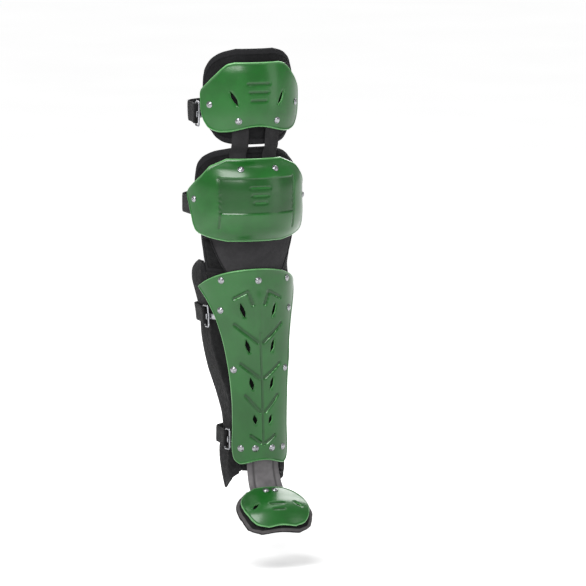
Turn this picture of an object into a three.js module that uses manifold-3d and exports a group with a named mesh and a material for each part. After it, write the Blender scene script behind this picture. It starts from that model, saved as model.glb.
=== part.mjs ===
// A catcher's leg guard, worn upright: moulded plates riveted over padded liners, open behind
// for the leg and closed there by webbing straps. Millimetres, +Z up, the front faces -Y.
// The origin is the inner face of the knee pad, at the middle of the knee.
import * as THREE from "three";
import { mergeVertices } from "three/addons/utils/BufferGeometryUtils.js";
import Module from "manifold-3d";

const wasm = await Module();
wasm.setup();

// Walls and clearance
const plateWall = 3;
const webbingWall = 2;
const thighPadWall = 14;
const kneePadWall = 20;
const bridgePadWall = 12;
const shinPadWall = 11;
const wingWall = 8;
const toePadWall = 9;
const seatGap = 0.3;
const layerGap = 0.7;

// Heights of the plates, and the spaces between them down the leg
const kneePlateHeight = 129;
const thighPlateHeight = 109;
const shinPlateLength = 314;
const thighKneeSpace = 41;
const kneeShinSpace = 46;
const padRise = 20;
const flareDrop = 32;
const thighNotch = 9;
const shinNotch = 7;

// Width of each plate along its curve, from the middle to the edge, and the curve's radius
const thighHalfArc = 100;
const kneeHalfArc = 136;
const shinHalfArc = 110;
const thighRadius = 88;
const kneeRadius = 95;
const shinRadius = 80;
const cornerRadius = 22;

// How far the plates stand in front of the origin, and where the leg's middle lies sideways
const thighFront = 36;
const kneeFront = 50;
const shinSetback = 33;
const thighAxis = 5;
const kneeAxis = 3;
const shinShift = 6;
const shinCant = THREE.MathUtils.degToRad(4.1);

// Toe plate: how far it reaches forward and down, and its width and dome
const toeReach = 70;
const toeDrop = 52;
const toeHalfWidth = 56;
const toeDomeRadius = 140;
const toePadRim = 9;

// Wings and straps behind the leg
const wingDepth = 112;
const strapDepth = 24;
const tabWidth = 28;
const instepWidth = 58;
const thighStrapWidth = 31;
const kneeStrapWidth = 28;
const calfStrapWidth = 27;
const ankleStrapWidth = 25;

// Vents, pressed channels and hardware
const ventLength = 27;
const ventWidth = 7;
const channelWidth = 6;
const spineWidth = 5;
const channelDepth = 1.6;
const rivetRadius = 5.2;
const rivetHeight = 2.4;
const wireRadius = 1.5;
const loopLength = 14;
const hookWall = 1.5;
const hookWidth = 9;
const foldLength = 22;

// Levels, from the knee plate up and down
const kneeTop = 0.49 * kneePlateHeight;
const kneeBottom = kneeTop - kneePlateHeight;
const thighBottom = kneeTop + thighKneeSpace;
const thighTop = thighBottom + thighPlateHeight;
const thighPadBottom = thighBottom - padRise;
const shinTop = kneeBottom - kneeShinSpace;
const shinBottom = shinTop - shinPlateLength;
const kneePadBottom = kneeBottom + 0.07 * kneePlateHeight;
const kneePadTop = kneeTop + 0.8 * padRise;
const bridgeBottom = shinTop - 0.033 * shinPlateLength;
const wingSeam = shinTop - 0.863 * shinPlateLength;
const shinPadBottom = shinBottom - 0.6 * padRise;

// Layers under a plate: first webbing or the grey panel, then the pads
const webbingFace = -(plateWall + layerGap);
const padFace = webbingFace - webbingWall - layerGap;
const strapLine = padFace + layerGap + webbingWall / 2;
const kneeHollow = kneeFront + padFace - kneePadWall;

// Section of the guard at each level: "front" is a share of the named front, "radius" of the
// named radius, and "side" the half width as a share of that radius.
const thighRows = [
  { at: -0.3, front: 0.7, radius: 0.96, side: 0.93 },
  { at: 0, front: 0.83, radius: 0.98, side: 0.93 },
  { at: 0.25, front: 0.97, radius: 1, side: 0.93 },
  { at: 0.55, front: 1, radius: 1, side: 0.93 },
  { at: 0.85, front: 0.94, radius: 1, side: 0.93 },
  { at: 1, front: 0.83, radius: 1, side: 0.93 },
  { at: 1.25, front: 0.75, radius: 1, side: 0.93 },
];
const kneeRows = [
  { at: -0.1, front: 0.3, radius: 0.96, side: 0.97 },
  { at: 0, front: 0.52, radius: 0.98, side: 0.985 },
  { at: 0.12, front: 0.8, radius: 1, side: 0.985 },
  { at: 0.28, front: 0.96, radius: 1, side: 0.985 },
  { at: 0.51, front: 1, radius: 1, side: 0.985 },
  { at: 0.74, front: 0.96, radius: 1, side: 0.985 },
  { at: 0.88, front: 0.78, radius: 1, side: 0.985 },
  { at: 1, front: 0.46, radius: 0.98, side: 0.985 },
  { at: 1.14, front: 0.32, radius: 0.94, side: 0.985 },
];
const shinRows = [
  { at: -0.2, front: 0.62, radius: 1.1, side: 0.985, edge: 1.02 },
  { at: -0.08, front: 0.3, radius: 1.04, side: 0.985, edge: 0.97 },
  { at: 0, front: 0.06, radius: 1, side: 0.985, edge: 0.91 },
  { at: 0.1, front: -0.03, radius: 1, side: 0.985, edge: 0.8 },
  { at: 0.24, front: -0.17, radius: 0.98, side: 0.92, edge: 0.6 },
  { at: 0.38, front: -0.28, radius: 0.97, side: 0.92, edge: 0.49 },
  { at: 0.525, front: -0.4, radius: 0.97, side: 0.83, edge: 0.43 },
  { at: 0.67, front: -0.57, radius: 0.9, side: 0.74, edge: 0.39 },
  { at: 0.81, front: -0.76, radius: 0.8, side: 0.78, edge: 0.39 },
  { at: 0.96, front: -0.94, radius: 0.73, side: 0.91, edge: 0.39 },
  { at: 1.05, front: -1.04, radius: 0.71, side: 0.94, edge: 0.37 },
  { at: 1.2, front: -1.2, radius: 0.68, side: 0.92, edge: 0.35 },
];

// Outlines: "half" is the half width at each share of the height, as a share of the named arc
const thighOutline = [
  { at: 0, half: 0.63 },
  { at: 0.03, half: 0.76 },
  { at: 0.12, half: 0.89 },
  { at: 0.275, half: 0.98 },
  { at: 0.42, half: 1 },
  { at: 0.6, half: 0.99 },
  { at: 0.68, half: 0.89 },
  { at: 0.82, half: 0.71 },
  { at: 0.945, half: 0.54 },
  { at: 0.98, half: 0.47 },
  { at: 1, half: 0.37 },
];
const kneeOutline = [
  { at: 0, half: 0.34 },
  { at: 0.04, half: 0.55 },
  { at: 0.1, half: 0.75 },
  { at: 0.18, half: 0.84 },
  { at: 0.3, half: 0.9 },
  { at: 0.465, half: 0.965 },
  { at: 0.58, half: 1 },
  { at: 0.72, half: 0.84 },
  { at: 0.81, half: 0.71 },
  { at: 0.865, half: 0.64 },
  { at: 0.915, half: 0.57 },
  { at: 0.955, half: 0.46 },
  { at: 1, half: 0.34 },
];
const shinOutline = [
  { at: 0, half: 1 },
  { at: 0.057, half: 0.845 },
  { at: 0.152, half: 0.686 },
  { at: 0.23, half: 0.61 },
  { at: 0.31, half: 0.555 },
  { at: 0.47, half: 0.489 },
  { at: 0.63, half: 0.457 },
  { at: 0.79, half: 0.462 },
  { at: 0.94, half: 0.473 },
  { at: 0.98, half: 0.436 },
  { at: 1, half: 0.364 },
];
const thighPadOutline = [
  { at: 0, half: 0.36 },
  { at: 0.014, half: 0.52 },
  { at: 0.047, half: 0.67 },
  { at: 0.12, half: 0.82 },
  { at: 0.21, half: 0.95 },
  { at: 0.34, half: 1.08 },
  { at: 0.71, half: 1.06 },
  { at: 0.82, half: 0.95 },
  { at: 0.905, half: 0.8 },
  { at: 0.966, half: 0.59 },
  { at: 1, half: 0.36 },
];
const kneePadOutline = [
  { at: 0, half: 0.84 },
  { at: 0.2, half: 0.9 },
  { at: 0.4, half: 0.97 },
  { at: 0.6, half: 0.97 },
  { at: 0.74, half: 0.91 },
  { at: 0.84, half: 0.8 },
  { at: 0.91, half: 0.65 },
  { at: 0.956, half: 0.5 },
  { at: 0.985, half: 0.32 },
  { at: 1, half: 0.22 },
];
const toeRows = [
  { at: -0.2, reach: -0.2, drop: -0.16, half: 0.4 },
  { at: 0, reach: 0, drop: 0, half: 0.43 },
  { at: 0.07, reach: 0.085, drop: 0.04, half: 0.66 },
  { at: 0.16, reach: 0.2, drop: 0.1, half: 0.84 },
  { at: 0.3, reach: 0.36, drop: 0.19, half: 0.97 },
  { at: 0.5, reach: 0.61, drop: 0.34, half: 1 },
  { at: 0.68, reach: 0.79, drop: 0.52, half: 0.95 },
  { at: 0.84, reach: 0.91, drop: 0.75, half: 0.84 },
  { at: 0.94, reach: 0.97, drop: 0.91, half: 0.68 },
  { at: 1, reach: 1, drop: 1, half: 0.42 },
  { at: 1.2, reach: 1.06, drop: 1.3, half: 0.3 },
];

// Wings: "back" is the depth of the back edge as a share of wingDepth, down the shin
const wingRows = [
  { at: -0.02, back: 0.7 },
  { at: 0.005, back: 0.88 },
  { at: 0.035, back: 1 },
  { at: 0.15, back: 0.98 },
  { at: 0.39, back: 0.98 },
  { at: 0.57, back: 1 },
  { at: 0.67, back: 0.98 },
  { at: 0.76, back: 0.9 },
  { at: 0.83, back: 0.88 },
  { at: 0.865, back: 0.8 },
  { at: 0.9, back: 0.98 },
  { at: 0.97, back: 1.05 },
  { at: 1.05, back: 1.02 },
  { at: 1.14, back: 0.96 },
  { at: 1.2, back: 0.9 },
];
const calfWingRows = [-0.02, 0.005, 0.035, 0.12, 0.18, 0.24, 0.3, 0.39, 0.53, 0.67, 0.76, 0.83, 0.863];
const ankleWingRows = [0, 0.18, 0.36, 0.55, 0.75, 0.9, 1];

// Rivets, vents and channels: "arc" is a share of the plate's half arc, "at" of its height
const thighRivets = [
  { arc: 0.81, at: 0.394 },
  { arc: 0.32, at: 0.165 },
];
const kneeRivets = [
  { arc: 0.21, at: 0.884 },
  { arc: 0.85, at: 0.51 },
];
const shinRivets = [
  { arc: 0, at: 0.06 },
  { arc: 0.54, at: 0.06 },
  { arc: 0.57, at: 0.213 },
  { arc: 0.408, at: 0.513 },
  { arc: 0.336, at: 0.917 },
  { arc: 0.126, at: 0.917 },
];
const thighVent = { arc: 0.4, at: 0.486, length: 1.05, lean: 28 };
const shinVents = [
  { arc: 0.242, at: 0.213, length: 1, lean: 17 },
  { arc: 0.191, at: 0.395, length: 0.92, lean: 15 },
  { arc: 0.155, at: 0.586, length: 0.85, lean: 13 },
  { arc: 0.118, at: 0.771, length: 0.65, lean: 12 },
];
const shinChannels = [
  { outer: 0.364, outerAt: 0.283, inner: 0.04, innerAt: 0.373 },
  { outer: 0.3, outerAt: 0.484, inner: 0.04, innerAt: 0.554 },
  { outer: 0.245, outerAt: 0.646, inner: 0.04, innerAt: 0.729 },
  { outer: 0.182, outerAt: 0.853, inner: 0.04, innerAt: 0.889 },
  { outer: 0.36, outerAt: 0.15, inner: 0.16, innerAt: 0.115 },
];
const spineSpan = { top: 0.33, bottom: 0.9 };
const toeVent = { across: 0.64, at: 0.52, length: 0.6, lean: -50 };
const toeRivets = [{ arc: 0.13, at: 0.12 }];

// Where the tabs, the grey panel and the instep strap end, as shares of what carries them
const linkTabEnds = { thigh: 0.27, knee: 0.19 };
const panelEnds = { top: 0.76, bottom: 0.44, bend: 1.3 };
const instepEnds = { shin: 0.09, toe: 0.22 };
const toeStart = { drop: 1.7, depth: 0.67 };
const flareBend = 2.1;
const toeNotch = 0.03;

// A smooth curve through a table, giving its named columns at any share
function tableCurve(rows, columns) {
  const places = rows.map((row) => row.at);
  const values = rows.flatMap((row) => columns.map((name) => row[name]));
  const curve = new THREE.CubicInterpolant(places, values, columns.length, []);
  return (at) => {
    const result = curve.evaluate(at);
    return Object.fromEntries(columns.map((name, index) => [name, result[index]]));
  };
}

// Section sizes of one zone of the guard at a level
function zoneForm(rows, front, radius, shareAt, axisAt) {
  const curve = tableCurve(rows, ["front", "radius", "side"]);
  return (z) => {
    const row = curve(shareAt(z));
    const frontRadius = radius * row.radius;
    const half = frontRadius * row.side;
    const turn = Math.asin((half - cornerRadius) / (frontRadius - cornerRadius));
    const sideY = frontRadius - front * row.front - (frontRadius - cornerRadius) * Math.cos(turn);
    return {
      axis: axisAt(z),
      front: front * row.front,
      radius: frontRadius,
      half,
      turn,
      frontRun: frontRadius * turn,
      sideRun: frontRadius * turn + cornerRadius * (Math.PI / 2 - turn),
      sideY,
    };
  };
}

const thighShare = (z) => (z - thighBottom) / thighPlateHeight;
const kneeShare = (z) => (z - kneeBottom) / kneePlateHeight;
const shinShare = (z) => (shinTop - z) / shinPlateLength;
const thighLevel = (share) => thighBottom + share * thighPlateHeight;
const kneeLevel = (share) => kneeBottom + share * kneePlateHeight;
const shinLevel = (share) => shinTop - share * shinPlateLength;
const shinAxis = (z) => shinShift - z * Math.tan(shinCant);
const thighForm = zoneForm(thighRows, thighFront, thighRadius, thighShare, () => thighAxis);
const kneeForm = zoneForm(kneeRows, kneeFront, kneeRadius, kneeShare, () => kneeAxis);
const shinForm = zoneForm(shinRows, shinSetback, shinRadius, shinShare, shinAxis);
const linerEdge = tableCurve(shinRows, ["edge"]);
const wingBack = tableCurve(wingRows, ["back"]);
const toeCurve = tableCurve(toeRows, ["reach", "drop", "half"]);

// A point of the guard's section: along the front arc, round the corner, then straight back
function wrapPoint(form, arc, z, offset) {
  const section = form(z);
  const side = Math.sign(arc);
  const run = Math.abs(arc);
  const inner = section.radius - cornerRadius;
  const centreY = section.radius - section.front;
  let angle = Math.PI / 2;
  let x = section.half;
  let y = section.sideY + run - section.sideRun;
  if (run < section.frontRun) {
    angle = run / section.radius;
    x = section.radius * Math.sin(angle);
    y = centreY - section.radius * Math.cos(angle);
  } else if (run < section.sideRun) {
    angle = section.turn + (run - section.frontRun) / cornerRadius;
    x = inner * Math.sin(section.turn) + cornerRadius * Math.sin(angle);
    y = centreY - inner * Math.cos(section.turn) - cornerRadius * Math.cos(angle);
  }
  const outX = x + offset * Math.sin(angle);
  return new THREE.Vector3(section.axis + side * outX, y - offset * Math.cos(angle), z);
}

// The arc at which the straight side of the section reaches a depth behind the origin
function arcAtDepth(form, z, depth) {
  const section = form(z);
  return section.sideRun + depth - section.sideY;
}

// Position and directions on a surface given by two numbers, its normal pointing outwards
function surfaceFrame(pointAt, a, b) {
  const step = 0.5;
  const origin = pointAt(a, b);
  const across = pointAt(a + step, b).sub(pointAt(a - step, b)).normalize();
  const along = pointAt(a, b + step).sub(pointAt(a, b - step)).normalize();
  const normal = across.clone().cross(along).normalize();
  const up = normal.clone().cross(across).normalize();
  return { origin, across, up, normal };
}

// A closed geometry from points and faces, with its faces turned outwards
function closedGeometry(points, faces) {
  let volume = 0;
  for (const [a, b, c] of faces) {
    volume += points[a].dot(points[b].clone().cross(points[c]));
  }
  const turned = volume < 0 ? faces.map(([a, b, c]) => [a, c, b]) : faces;
  const geometry = new THREE.BufferGeometry();
  geometry.setAttribute(
    "position",
    new THREE.Float32BufferAttribute(points.flatMap((point) => point.toArray()), 3),
  );
  geometry.setIndex(turned.flat());
  return geometry;
}

// A curved wall: an outer and an inner grid of points, joined round the rim
function wallGeometry(columns, rows, pointAt) {
  const width = columns.length;
  const layerSize = width * rows.length;
  const points = [];
  for (const layer of [0, 1]) {
    for (const v of rows) {
      for (const u of columns) {
        points.push(pointAt(u, v, layer));
      }
    }
  }
  const faces = [];
  for (let j = 0; j + 1 < rows.length; j += 1) {
    for (let i = 0; i + 1 < width; i += 1) {
      const a = j * width + i;
      const c = a + width;
      faces.push([a, a + 1, c + 1], [a, c + 1, c]);
      const d = a + layerSize;
      const e = c + layerSize;
      faces.push([d, e + 1, d + 1], [d, e, e + 1]);
    }
  }
  const last = width * (rows.length - 1);
  for (let i = 0; i + 1 < width; i += 1) {
    faces.push([i, i + layerSize, i + 1 + layerSize], [i, i + 1 + layerSize, i + 1]);
    const a = last + i;
    faces.push([a, a + 1, a + 1 + layerSize], [a, a + 1 + layerSize, a + layerSize]);
  }
  for (let j = 0; j + 1 < rows.length; j += 1) {
    const a = j * width;
    const b = a + width;
    faces.push([a, b, b + layerSize], [a, b + layerSize, a + layerSize]);
    const c = a + width - 1;
    const d = c + width;
    faces.push([c, c + layerSize, d + layerSize], [c, d + layerSize, d]);
  }
  return closedGeometry(points, faces);
}

// A solid through rings of points, closed into a loop or capped at both ends
function loftGeometry(rings, isLoop) {
  const size = rings[0].length;
  const points = rings.flat();
  const faces = [];
  const spans = isLoop ? rings.length : rings.length - 1;
  for (let r = 0; r < spans; r += 1) {
    const next = ((r + 1) % rings.length) * size;
    for (let k = 0; k < size; k += 1) {
      const k2 = (k + 1) % size;
      faces.push([r * size + k, r * size + k2, next + k2], [r * size + k, next + k2, next + k]);
    }
  }
  if (!isLoop) {
    const end = (rings.length - 1) * size;
    for (let k = 1; k + 1 < size; k += 1) {
      faces.push([0, k + 1, k], [end, end + k, end + k + 1]);
    }
  }
  return closedGeometry(points, faces);
}

function toManifold(geometry) {
  const plain = geometry.clone();
  plain.deleteAttribute("normal");
  plain.deleteAttribute("uv");
  const merged = mergeVertices(plain, 1e-4);
  return new wasm.Manifold(
    new wasm.Mesh({
      numProp: 3,
      vertProperties: new Float32Array(merged.attributes.position.array),
      triVerts: new Uint32Array(merged.index.array),
    }),
  );
}

function fromManifold(solid) {
  const mesh = solid.getMesh();
  const geometry = new THREE.BufferGeometry();
  geometry.setAttribute("position", new THREE.BufferAttribute(mesh.vertProperties, 3));
  geometry.setIndex(new THREE.BufferAttribute(mesh.triVerts, 1));
  return geometry;
}

// A geometry with the cutters taken away
function cutFrom(geometry, cutters) {
  let solid = toManifold(geometry);
  for (const cutter of cutters) {
    solid = solid.subtract(toManifold(cutter));
  }
  return fromManifold(solid);
}

const spread = (count) => Array.from({ length: count + 1 }, (_, i) => (2 * i) / count - 1);
const shares = (count) => Array.from({ length: count + 1 }, (_, i) => i / count);
const mix = THREE.MathUtils.lerp;

// A lozenge with pointed ends that cuts through a plate, leaning from the upright by degrees
function ventCutter(pointAt, a, b, length, lean) {
  const frame = surfaceFrame(pointAt, a, b);
  const outline = new THREE.Shape([
    new THREE.Vector2(0, -length / 2),
    new THREE.Vector2(ventWidth / 2, -length / 8),
    new THREE.Vector2(ventWidth / 2.6, length / 6),
    new THREE.Vector2(0, length / 2),
    new THREE.Vector2(-ventWidth / 2, length / 8),
    new THREE.Vector2(-ventWidth / 2.6, -length / 6),
  ]);
  const depth = 6 * plateWall;
  const cutter = new THREE.ExtrudeGeometry(outline, { depth, bevelEnabled: false });
  cutter.translate(0, 0, -depth / 2);
  cutter.rotateZ(THREE.MathUtils.degToRad(lean));
  cutter.applyMatrix4(new THREE.Matrix4().makeBasis(frame.across, frame.up, frame.normal));
  cutter.translate(frame.origin.x, frame.origin.y, frame.origin.z);
  return cutter;
}

// Cutter of a channel pressed into a plate between two places, narrower at its floor
function channelCutter(pointAt, from, to, width) {
  const length = Math.hypot(to.a - from.a, to.b - from.b);
  const sideA = (-(to.b - from.b) / length) * (width / 2);
  const sideB = ((to.a - from.a) / length) * (width / 2);
  const steps = Math.max(2, Math.round(length / (6 * width)));
  const rings = shares(steps).map((share) => {
    const a = mix(from.a, to.a, share);
    const b = mix(from.b, to.b, share);
    return [
      pointAt(a - sideA, b - sideB, channelDepth),
      pointAt(a - sideA / 2, b - sideB / 2, -channelDepth),
      pointAt(a + sideA / 2, b + sideB / 2, -channelDepth),
      pointAt(a + sideA, b + sideB, channelDepth),
    ];
  });
  return loftGeometry(rings, false);
}

const onThigh = (arc, z, offset = 0) => wrapPoint(thighForm, arc, z, offset);
const onKnee = (arc, z, offset = 0) => wrapPoint(kneeForm, arc, z, offset);
const onShin = (arc, z, offset = 0) => wrapPoint(shinForm, arc, z, offset);

// Thigh plate, with its notched lower edge and two vents
function thighPlate() {
  const half = tableCurve(thighOutline, ["half"]);
  const plate = wallGeometry(
    spread(14),
    thighOutline.map((row) => row.at),
    (u, v, layer) => {
      const notch = thighNotch * (1 - u * u) ** 3 * (1 - v) ** 3;
      const z = thighBottom + thighPlateHeight * v + notch;
      return onThigh(u * thighHalfArc * half(v).half, z, -plateWall * layer);
    },
  );
  const vents = [-1, 1].map((side) => ventCutter(
    onThigh,
    side * thighVent.arc * thighHalfArc,
    thighBottom + thighVent.at * thighPlateHeight,
    thighVent.length * ventLength,
    side * -thighVent.lean,
  ));
  return cutFrom(plate, vents);
}

function thighPad() {
  const half = tableCurve(thighPadOutline, ["half"]);
  return wallGeometry(
    spread(12),
    thighPadOutline.map((row) => row.at),
    (u, v, layer) => onThigh(
      u * thighHalfArc * half(v).half,
      mix(thighPadBottom, thighTop + padRise, v),
      padFace - thighPadWall * layer,
    ),
  );
}

// One of the two tabs from under the thigh plate to under the knee plate
function linkTab(side) {
  const middle = side * tabWidth;
  const top = thighBottom + linkTabEnds.thigh * thighPlateHeight;
  const bottom = kneeTop - linkTabEnds.knee * kneePlateHeight;
  return wallGeometry(spread(2), shares(12), (u, v, layer) => {
    const z = mix(top, bottom, v);
    const arc = middle + (u * tabWidth) / 2;
    const face = webbingFace - webbingWall * layer;
    const blend = THREE.MathUtils.smoothstep(thighPadBottom - z, layerGap, thighPadBottom - kneeTop);
    return onThigh(arc, z, face).lerp(onKnee(arc, z, face), blend);
  });
}

function kneePlate() {
  const half = tableCurve(kneeOutline, ["half"]);
  return wallGeometry(
    spread(20),
    kneeOutline.map((row) => row.at),
    (u, v, layer) => onKnee(
      u * kneeHalfArc * half(v).half,
      kneeBottom + kneePlateHeight * v,
      -plateWall * layer,
    ),
  );
}

// The knee pad meets the plate round its edge and lies back from the dome in the middle
function kneePad() {
  const half = tableCurve(kneePadOutline, ["half"]);
  return wallGeometry(
    spread(16),
    kneePadOutline.map((row) => row.at),
    (u, v, layer) => {
      const arc = u * kneeHalfArc * half(v).half;
      const z = mix(kneePadBottom, kneePadTop, v);
      const across = 1 - Math.min(1, (arc / (0.85 * kneeHalfArc)) ** 2);
      const upright = 1 - Math.min(1, (2 * kneeShare(z) - 1.02) ** 2);
      const hollow = kneeHollow * across ** 1.5 * upright;
      return onKnee(arc, z, padFace - hollow - kneePadWall * layer);
    },
  );
}

// Padded band under the knee plate, above the shin plate
function bridgePad() {
  return wallGeometry(spread(14), shares(4), (u, v, layer) => {
    const z = mix(kneePadBottom - seatGap, bridgeBottom, v);
    const arc = u * shinHalfArc * linerEdge(shinShare(z)).edge;
    return onShin(arc, z, padFace - bridgePadWall * layer);
  });
}

// Grey cloth panel on the band, its ends slanting in downwards
function bridgePanel() {
  return wallGeometry(spread(12), shares(4), (u, v, layer) => {
    const z = mix(kneePadBottom, bridgeBottom + seatGap, v);
    const arc = u * shinHalfArc * mix(panelEnds.top, panelEnds.bottom, v ** panelEnds.bend);
    return onShin(arc, z, webbingFace - webbingWall * layer);
  });
}

// Shin plate with its flared top, and its spine, chevron channels and vents
function shinPlate() {
  const half = tableCurve(shinOutline, ["half"]);
  const plate = wallGeometry(
    spread(18),
    shinOutline.map((row) => row.at),
    (u, v, layer) => {
      const top = shinTop - flareDrop * Math.abs(u) ** flareBend;
      const bottom = shinBottom + shinNotch * (1 - u * u) ** 2;
      return onShin(u * shinHalfArc * half(v).half, mix(top, bottom, v), -plateWall * layer);
    },
  );
  const spine = channelCutter(
    onShin,
    { a: 0, b: shinLevel(spineSpan.top) },
    { a: 0, b: shinLevel(spineSpan.bottom) },
    spineWidth,
  );
  const channels = [-1, 1].flatMap((side) => shinChannels.map((row) => channelCutter(
    onShin,
    { a: side * row.outer * shinHalfArc, b: shinLevel(row.outerAt) },
    { a: side * row.inner * shinHalfArc, b: shinLevel(row.innerAt) },
    channelWidth,
  )));
  const vents = [-1, 1].flatMap((side) => shinVents.map((vent) => ventCutter(
    onShin,
    side * vent.arc * shinHalfArc,
    shinLevel(vent.at),
    vent.length * ventLength,
    side * -vent.lean,
  )));
  return cutFrom(plate, [spine, ...channels, ...vents]);
}

// The shin pad's rows lie level with those of the wings, so that their seams match
function shinPad() {
  const levels = [
    ...calfWingRows.slice(2, -1).map(shinLevel),
    ...ankleWingRows.map((share) => mix(wingSeam, shinPadBottom, share)),
  ];
  return wallGeometry(spread(10), levels, (u, z, layer) => {
    const arc = u * shinHalfArc * linerEdge(shinShare(z)).edge;
    return onShin(arc, z, padFace - shinPadWall * layer);
  });
}

// One wing from the liner's edge to its own back edge, between two levels at each share
function wingGeometry(side, rows, levelAt) {
  return wallGeometry(spread(5), rows, (u, v, layer) => {
    const share = (u + 1) / 2;
    const z = levelAt(share, v);
    const front = shinHalfArc * linerEdge(shinShare(z)).edge + layerGap;
    const back = arcAtDepth(shinForm, z, wingDepth * wingBack(shinShare(z)).back);
    return onShin(side * mix(front, back, share), z, padFace - wingWall * layer);
  });
}

const calfWing = (side) => wingGeometry(side, calfWingRows, (share, v) => shinLevel(v));

// The ankle wing's lower edge hangs lower towards the back
function ankleWing(side) {
  return wingGeometry(side, ankleWingRows, (share, v) => {
    const bottom = shinPadBottom - 1.6 * padRise * share;
    return mix(wingSeam - seatGap, bottom, v);
  });
}

// Toe plate surface: "across" in millimetres from its middle, "along" a share of its length
function toePoint(across, along, offset = 0) {
  const step = 0.01;
  const row = toeCurve(along);
  const ahead = toeCurve(along + step);
  const behind = toeCurve(along - step);
  const slope = Math.atan2(toeDrop * (ahead.drop - behind.drop), toeReach * (ahead.reach - behind.reach));
  const angle = across / toeDomeRadius;
  const dip = toeDomeRadius - (toeDomeRadius + offset) * Math.cos(angle);
  const startZ = shinBottom - toeStart.drop * padRise;
  const startY = toeStart.depth * shinSetback;
  return new THREE.Vector3(
    shinAxis(startZ) + (toeDomeRadius + offset) * Math.sin(angle),
    startY - toeReach * row.reach + dip * Math.sin(slope),
    startZ - toeDrop * row.drop - dip * Math.cos(slope),
  );
}

function toeWall(rim, from, to, face, wall) {
  const rows = [0, 0.06, 0.15, 0.3, 0.5, 0.68, 0.84, 0.94, 1];
  return wallGeometry(spread(12), rows, (u, v, layer) => {
    const notch = toeNotch * (1 - u * u) ** 2 * v * v;
    const half = toeHalfWidth * toeCurve(v).half + rim;
    return toePoint(u * half, mix(from, to, v) - notch, face - wall * layer);
  });
}

// The toe plate's surface by millimetres across and up from its top edge
const toeLength = Math.hypot(toeReach, toeDrop);
const toeLevel = (share) => -share * toeLength;
const onToe = (across, up, offset = 0) => toePoint(across, -up / toeLength, offset);

function toePlate() {
  const plate = toeWall(0, 0, 1, 0, plateWall);
  const vents = [-1, 1].map((side) => ventCutter(
    onToe,
    side * toeVent.across * toeHalfWidth,
    toeLevel(toeVent.at),
    toeVent.length * ventLength,
    side * -toeVent.lean,
  ));
  return cutFrom(plate, vents);
}

const toePad = () => toeWall(toePadRim, -0.04, 1.1, padFace, toePadWall);

// Instep strap from under the shin plate to under the toe plate
function instepStrap() {
  const top = shinBottom + instepEnds.shin * shinPlateLength;
  const bottom = shinBottom - toeStart.drop * padRise;
  return wallGeometry(spread(6), shares(12), (u, v, layer) => {
    const across = (u * instepWidth) / 2;
    const face = webbingFace - webbingWall * layer;
    const upper = onShin(across, mix(top, bottom, v), face);
    const lower = toePoint(across, mix(-0.2, instepEnds.toe, Math.max(0, 2 * v - 1)), face);
    return upper.lerp(lower, THREE.MathUtils.smoothstep(v, 0.45, 0.72));
  });
}

// A band of one width, following the path that the guard's section gives at its lower and
// upper edge
function bandGeometry(pathAt, level, width, wall) {
  const lower = pathAt(level - width / 2);
  const upper = pathAt(level + width / 2);
  const shifted = ({ point, out }, share) => point.clone().addScaledVector(out, wall * share);
  const rings = lower.map((station, index) => [
    shifted(station, -0.5),
    shifted(station, 0.5),
    shifted(upper[index], 0.5),
    shifted(upper[index], -0.5),
  ]);
  return loftGeometry(rings, false);
}

// Path points on one side of the guard, at given arcs and offsets, with their directions
function sidePath(form, z, stations) {
  return stations.map(({ arc, offset, tilt = 0 }) => {
    const point = wrapPoint(form, arc, z, offset);
    const outward = wrapPoint(form, arc, z, offset + 1).sub(point);
    outward.applyAxisAngle(new THREE.Vector3(0, 0, 1), tilt);
    return { point, out: outward };
  });
}

// Half a turn round a wire bar lying on the side, passing before or behind the bar
function barTurn(side, barArc, barOffset, radius, way) {
  return [0, 1, 2, 3, 4].map((step) => {
    const angle = (step * Math.PI) / 4;
    return {
      arc: side * (barArc + way * radius * Math.sin(angle)),
      offset: barOffset - radius * Math.cos(angle),
      tilt: -side * way * angle,
    };
  });
}

// The straps that a hook fastens on the left side: where the hook's bar lies past the plate's
// edge, where the right end is sewn, and where the band leaves the sides to go round the leg
const hookedStraps = [
  {
    name: "thigh",
    form: thighForm,
    z: thighBottom + 0.24 * thighPlateHeight,
    width: thighStrapWidth,
    hookArc: 1.04 * thighHalfArc,
    sewnArc: 0.9 * thighHalfArc,
    leaves: 0.68 * wingDepth,
    bulge: 2 * strapDepth,
  },
  {
    name: "calf",
    form: shinForm,
    z: shinLevel(0.25),
    width: calfStrapWidth,
    hookArc: 0.8 * shinHalfArc,
    sewnArc: 0.64 * shinHalfArc,
    leaves: 1.02 * wingDepth,
    bulge: 1.4 * strapDepth,
  },
  {
    name: "ankle",
    form: shinForm,
    z: shinLevel(0.875),
    width: ankleStrapWidth,
    hookArc: 0.52 * shinHalfArc,
    sewnArc: 0.43 * shinHalfArc,
    leaves: 1.04 * wingDepth,
    bulge: 1.4 * strapDepth,
  },
];
const kneeStrapSizes = {
  form: kneeForm,
  z: 0.42 * kneePlateHeight + kneeBottom,
  width: kneeStrapWidth,
  sewnArc: 0.88 * kneeHalfArc,
  leaves: 0.55 * wingDepth,
  bulge: 2.3 * strapDepth,
};

const barFoldRadius = wireRadius + 2 * seatGap + webbingWall / 2;
const barOffset = strapLine + barFoldRadius;

// The back of a strap: half an ellipse round the leg, from the left side to the right
function backPath(strap, z) {
  const section = strap.form(z);
  const half = section.half + strapLine;
  return shares(12).map((share) => {
    const angle = Math.PI * share;
    const out = new THREE.Vector3(-strap.bulge * Math.cos(angle), half * Math.sin(angle), 0);
    const point = new THREE.Vector3(
      section.axis - half * Math.cos(angle),
      strap.leaves + strap.bulge * Math.sin(angle),
      z,
    );
    return { point, out: out.normalize() };
  });
}

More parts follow.
